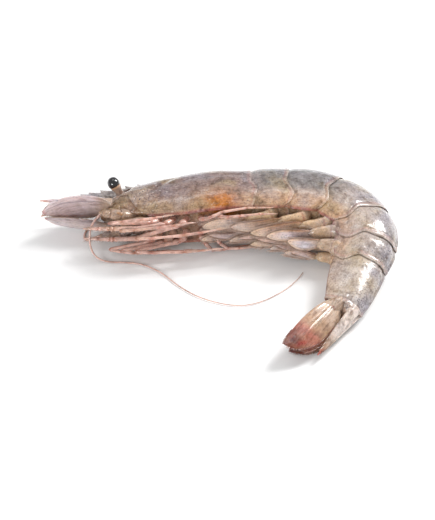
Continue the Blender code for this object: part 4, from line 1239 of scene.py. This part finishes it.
def make_telson(to_back, upright, material):
    """A tapering spike: an oval section with a furrow between two ridges on its back, and small spines."""
    root = place(*TELSON_ROOT)
    tip = place(plate_borders()[-1], *TELSON_TIP_HEIGHT)
    share, spine, across, normal = blade_frame(root, tip, upright, TELSON_ROWS)
    normal = normal * np.sign(np.dot(normal, to_back))
    w = breadth(TELSON_COLUMNS)
    v = np.sin(turns(TELSON_COLUMNS))[None, :]
    down = share[:, None]
    half = TELSON_WIDTH / 2 * smooth(down, TELSON_EDGE_AT, TELSON_EDGE)
    deep = TELSON_THICKNESS / 2 * smooth(down, TELSON_DEPTH_AT, TELSON_DEPTH)
    ridge = 1.0 + (0.16 * hump(np.abs(w), 0.3, 0.12) - 0.3 * hump(w, 0.0, 0.16)) * (v > 0)
    places = spine[:, None, :] + (half * w)[..., None] * across + (deep * v * ridge)[..., None] * normal
    tint = layered(
        TELSON_PALE, places.shape[:2],
        (FAN_MIDDLE, ease(down, 0.45, 0.9)),
        (FAN_CRIMSON, 0.75 * ease(down, 0.8, 1.0)),
    )
    parts = [closed_grid(places, tint, 0.25)]
    for at in TELSON_SPINES:
        for way in (across, -across):
            route = np.array((spine[at] + way * half[at] * 0.8, spine[at + 12] + way * (half[at] + 0.25)))
            parts.append(limb(route, (0.14, 0.1, 0.02), linear(TAIL_PALE), count=10, sides=6))
    add_piece("telson_blade", merged(parts), material, "shell", "telson")


# Materials

def plug(tree, socket, value):
    """Sets one input to a value or to another node's output."""
    if isinstance(value, bpy.types.NodeSocket):
        tree.links.new(value, socket)
    else:
        socket.default_value = value


def feed(tree, node, **inputs):
    """Sets a node's inputs by name, each to a value or to another node's output."""
    for name, value in inputs.items():
        plug(tree, node.inputs[name.replace("_", " ")], value)


def add_node(tree, kind, **inputs):
    """A node with its inputs set by name."""
    node = tree.nodes.new(kind)
    feed(tree, node, **inputs)
    return node


def product(tree, first, second, operation="MULTIPLY"):
    """The product of two numbers or outputs, or their sum where that is asked for, from 0 to 1."""
    node = tree.nodes.new("ShaderNodeMath")
    node.operation = operation
    node.use_clamp = True
    plug(tree, node.inputs[0], first)
    plug(tree, node.inputs[1], second)
    return node.outputs[0]


def scaled(tree, value, low, high, to_low, to_high):
    """The value carried from one range to another, clamped."""
    ranges = {"From_Min": low, "From_Max": high, "To_Min": to_low, "To_Max": to_high}
    return add_node(tree, "ShaderNodeMapRange", Value=value, **ranges).outputs["Result"]


def blended(tree, mode, factor, first, second):
    """A mix of two colours or outputs by a factor."""
    node = tree.nodes.new("ShaderNodeMix")
    node.data_type = "RGBA"
    node.blend_type = mode
    plug(tree, node.inputs[0], factor)
    for socket, value in ((node.inputs[6], first), (node.inputs[7], second)):
        plug(tree, socket, (*linear(value), 1.0) if isinstance(value, tuple) else value)
    return node.outputs[2]


def attribute(tree, name):
    """A node that reads one of the mesh's own attributes."""
    node = tree.nodes.new("ShaderNodeAttribute")
    node.attribute_name = name
    return node


def new_material(name):
    """A material, its tree, its shader, and the place on the object in the object's coordinates."""
    material = bpy.data.materials.new(name)
    material.use_nodes = True
    tree = material.node_tree
    where = tree.nodes.new("ShaderNodeTexCoord").outputs["Object"]
    return material, tree, tree.nodes["Principled BSDF"], where


def wet_material(name, mottle, speck, depth, bump, streak):
    """Wet shell: the piece's own colours with cool and olive shades, streaks along the grain, pale and dark
    spots, and a glossy film of water that ripples a little."""
    material, tree, shader, where = new_material(name)
    amount = attribute(tree, "speckle").outputs["Fac"]
    grain = attribute(tree, "grain").outputs["Vector"]
    drawn = add_node(tree, "ShaderNodeMapping", Vector=grain, Scale=FIBRE_STRETCH).outputs["Vector"]
    noises = {}
    for key, (scale, detail, roughness) in NOISES.items():
        noise = add_node(tree, "ShaderNodeTexNoise", Vector=drawn if key == "fibre" else where, Scale=scale,
                         Detail=detail, Roughness=roughness)
        noises[key] = noise.outputs["Fac"]

    cool = product(tree, scaled(tree, noises["broad"], 0.48, 0.66, 0.0, mottle), amount)
    colour = blended(tree, "MIX", cool, attribute(tree, "tint").outputs["Color"], COOL_SHADE)
    strengths = {"mottle": mottle, "streak": streak}
    for key, low, high, strength, share, mode, shade in SHADES:
        weight = scaled(tree, noises[key], low, high, 0.0, strengths[strength] * share)
        colour = blended(tree, mode, weight, colour, shade)
    for scale, edge, full, key, low, high, share, shade in SPOTS:
        cells = add_node(tree, "ShaderNodeTexVoronoi", Vector=where, Scale=scale, Randomness=1.0)
        core = scaled(tree, cells.outputs["Distance"], edge, full, 0.0, 1.0)
        thin = scaled(tree, noises[key], low, high, 0.0, speck * share)
        colour = blended(tree, "MIX", product(tree, product(tree, core, thin), amount), colour, shade)

    relief = product(tree, product(tree, noises["patch"], 0.75), product(tree, noises["fibre"], 0.25), "ADD")
    uneven = add_node(tree, "ShaderNodeBump", Height=relief, Strength=bump, Distance=BUMP_HEIGHT)
    film = add_node(tree, "ShaderNodeBump", Height=relief, Strength=bump * 0.3, Distance=BUMP_HEIGHT)
    feed(tree, shader, Base_Color=colour, Roughness=scaled(tree, noises["fine"], 0.3, 0.7, *WET_ROUGHNESS),
         IOR=1.4, Coat_Weight=0.85, Coat_Roughness=0.05, Coat_IOR=1.4, Subsurface_Weight=depth,
         Subsurface_Radius=(1.0, 0.62, 0.4), Subsurface_Scale=MM, Normal=uneven.outputs["Normal"],
         Coat_Normal=film.outputs["Normal"])
    return material


def eye_material():
    """A glossy eye: its own colours with a faint paler net of facets, which also raise it a little."""
    material, tree, shader, where = new_material("wet_eye")
    facets = add_node(tree, "ShaderNodeTexVoronoi", Vector=where, Scale=6000.0).outputs["Distance"]
    net = scaled(tree, facets, 0.0, 0.5, 0.0, 0.06)
    colour = blended(tree, "ADD", net, attribute(tree, "tint").outputs["Color"], FACET)
    uneven = add_node(tree, "ShaderNodeBump", Height=facets, Strength=0.08, Distance=0.0001)
    feed(tree, shader, Base_Color=colour, Roughness=0.16, Coat_Weight=0.8, Coat_Roughness=0.03,
         Normal=uneven.outputs["Normal"])
    return material


# Stage

def make_floor():
    """A wide pale square just under the prawn."""
    mesh = bpy.data.meshes.new("floor")
    signs = ((-1, -1), (1, -1), (1, 1), (-1, 1))
    mesh.from_pydata([(x * FLOOR_HALF, y * FLOOR_HALF, FLOOR_LEVEL) for x, y in signs], [], [(0, 1, 2, 3)])
    material, tree, shader, _ = new_material("pale_floor")
    feed(tree, shader, Base_Color=(0.9, 0.9, 0.9, 1.0), Roughness=0.8)
    mesh.materials.append(material)
    floor = bpy.data.objects.new("floor", mesh)
    bpy.context.scene.collection.objects.link(floor)


def make_light(name, place_mm, size_mm, power):
    """A rectangular light that faces the middle of the prawn, its first side level."""
    data = bpy.data.lights.new(name, "AREA")
    data.shape = "RECTANGLE"
    data.size, data.size_y = (size * MM for size in size_mm)
    data.energy = power
    light = bpy.data.objects.new(name, data)
    bpy.context.scene.collection.objects.link(light)
    x, y, z = place_mm
    light.location = (x * MM, y * MM, z * MM)
    light.rotation_euler = (math.acos(z / math.sqrt(x * x + y * y + z * z)), 0.0, math.atan2(x, -y))


def make_stage():
    """The floor, the lights and a white world."""
    make_floor()
    for name, (place_mm, size_mm, power) in LIGHTS.items():
        make_light(name, place_mm, size_mm, power)
    world = bpy.data.worlds.new("studio")
    world.use_nodes = True
    background = world.node_tree.nodes["Background"]
    feed(world.node_tree, background, Color=(1.0, 1.0, 1.0, 1.0), Strength=WORLD_STRENGTH)
    bpy.context.scene.world = world
    bpy.context.scene.view_settings.view_transform = "Standard"


def make_camera():
    """The camera, raised by its elevation and looking at its target."""
    data = bpy.data.cameras.new("camera")
    data.lens = CAMERA_LENS
    data.clip_start, data.clip_end = CAMERA_CLIP
    camera = bpy.data.objects.new("camera", data)
    elevation = math.radians(CAMERA_ELEVATION)
    back = np.array((0.0, -math.cos(elevation), math.sin(elevation)))
    camera.location = (np.array(CAMERA_TARGET) + back * CAMERA_DISTANCE) * MM
    camera.rotation_euler = (math.pi / 2 - elevation, 0.0, 0.0)
    bpy.context.scene.collection.objects.link(camera)
    bpy.context.scene.camera = camera


def main():
    """The whole prawn, its stage and its camera."""
    shell = wet_material("wet_shell", mottle=0.85, speck=0.95, depth=0.25, bump=0.42, streak=0.35)
    limbs = wet_material("wet_limbs", mottle=0.55, speck=0.6, depth=0.3, bump=0.22, streak=0.35)
    tail = wet_material("wet_tail", mottle=0.55, speck=0.5, depth=0.2, bump=0.2, streak=0.6)
    scales = wet_material("wet_scales", mottle=0.35, speck=0.4, depth=0.25, bump=0.15, streak=0.45)
    eyes = eye_material()

    make_carapace(shell)
    make_face(shell)
    make_rostrum(shell)
    for number in range(1, len(SEGMENT_LENGTHS) + 1):
        make_segment(number, shell)
    for side, sign in (("left", 1), ("right", -1)):
        make_eye(side, sign, eyes)
        make_scale(side, sign, scales)
        make_antennule(side, sign, limbs)
        make_antenna(side, sign, limbs)
        make_legs(side, sign, limbs)
        make_pleopods(side, sign, limbs)
    make_tail_fan(tail, shell)
    make_stage()
    make_camera()


main()
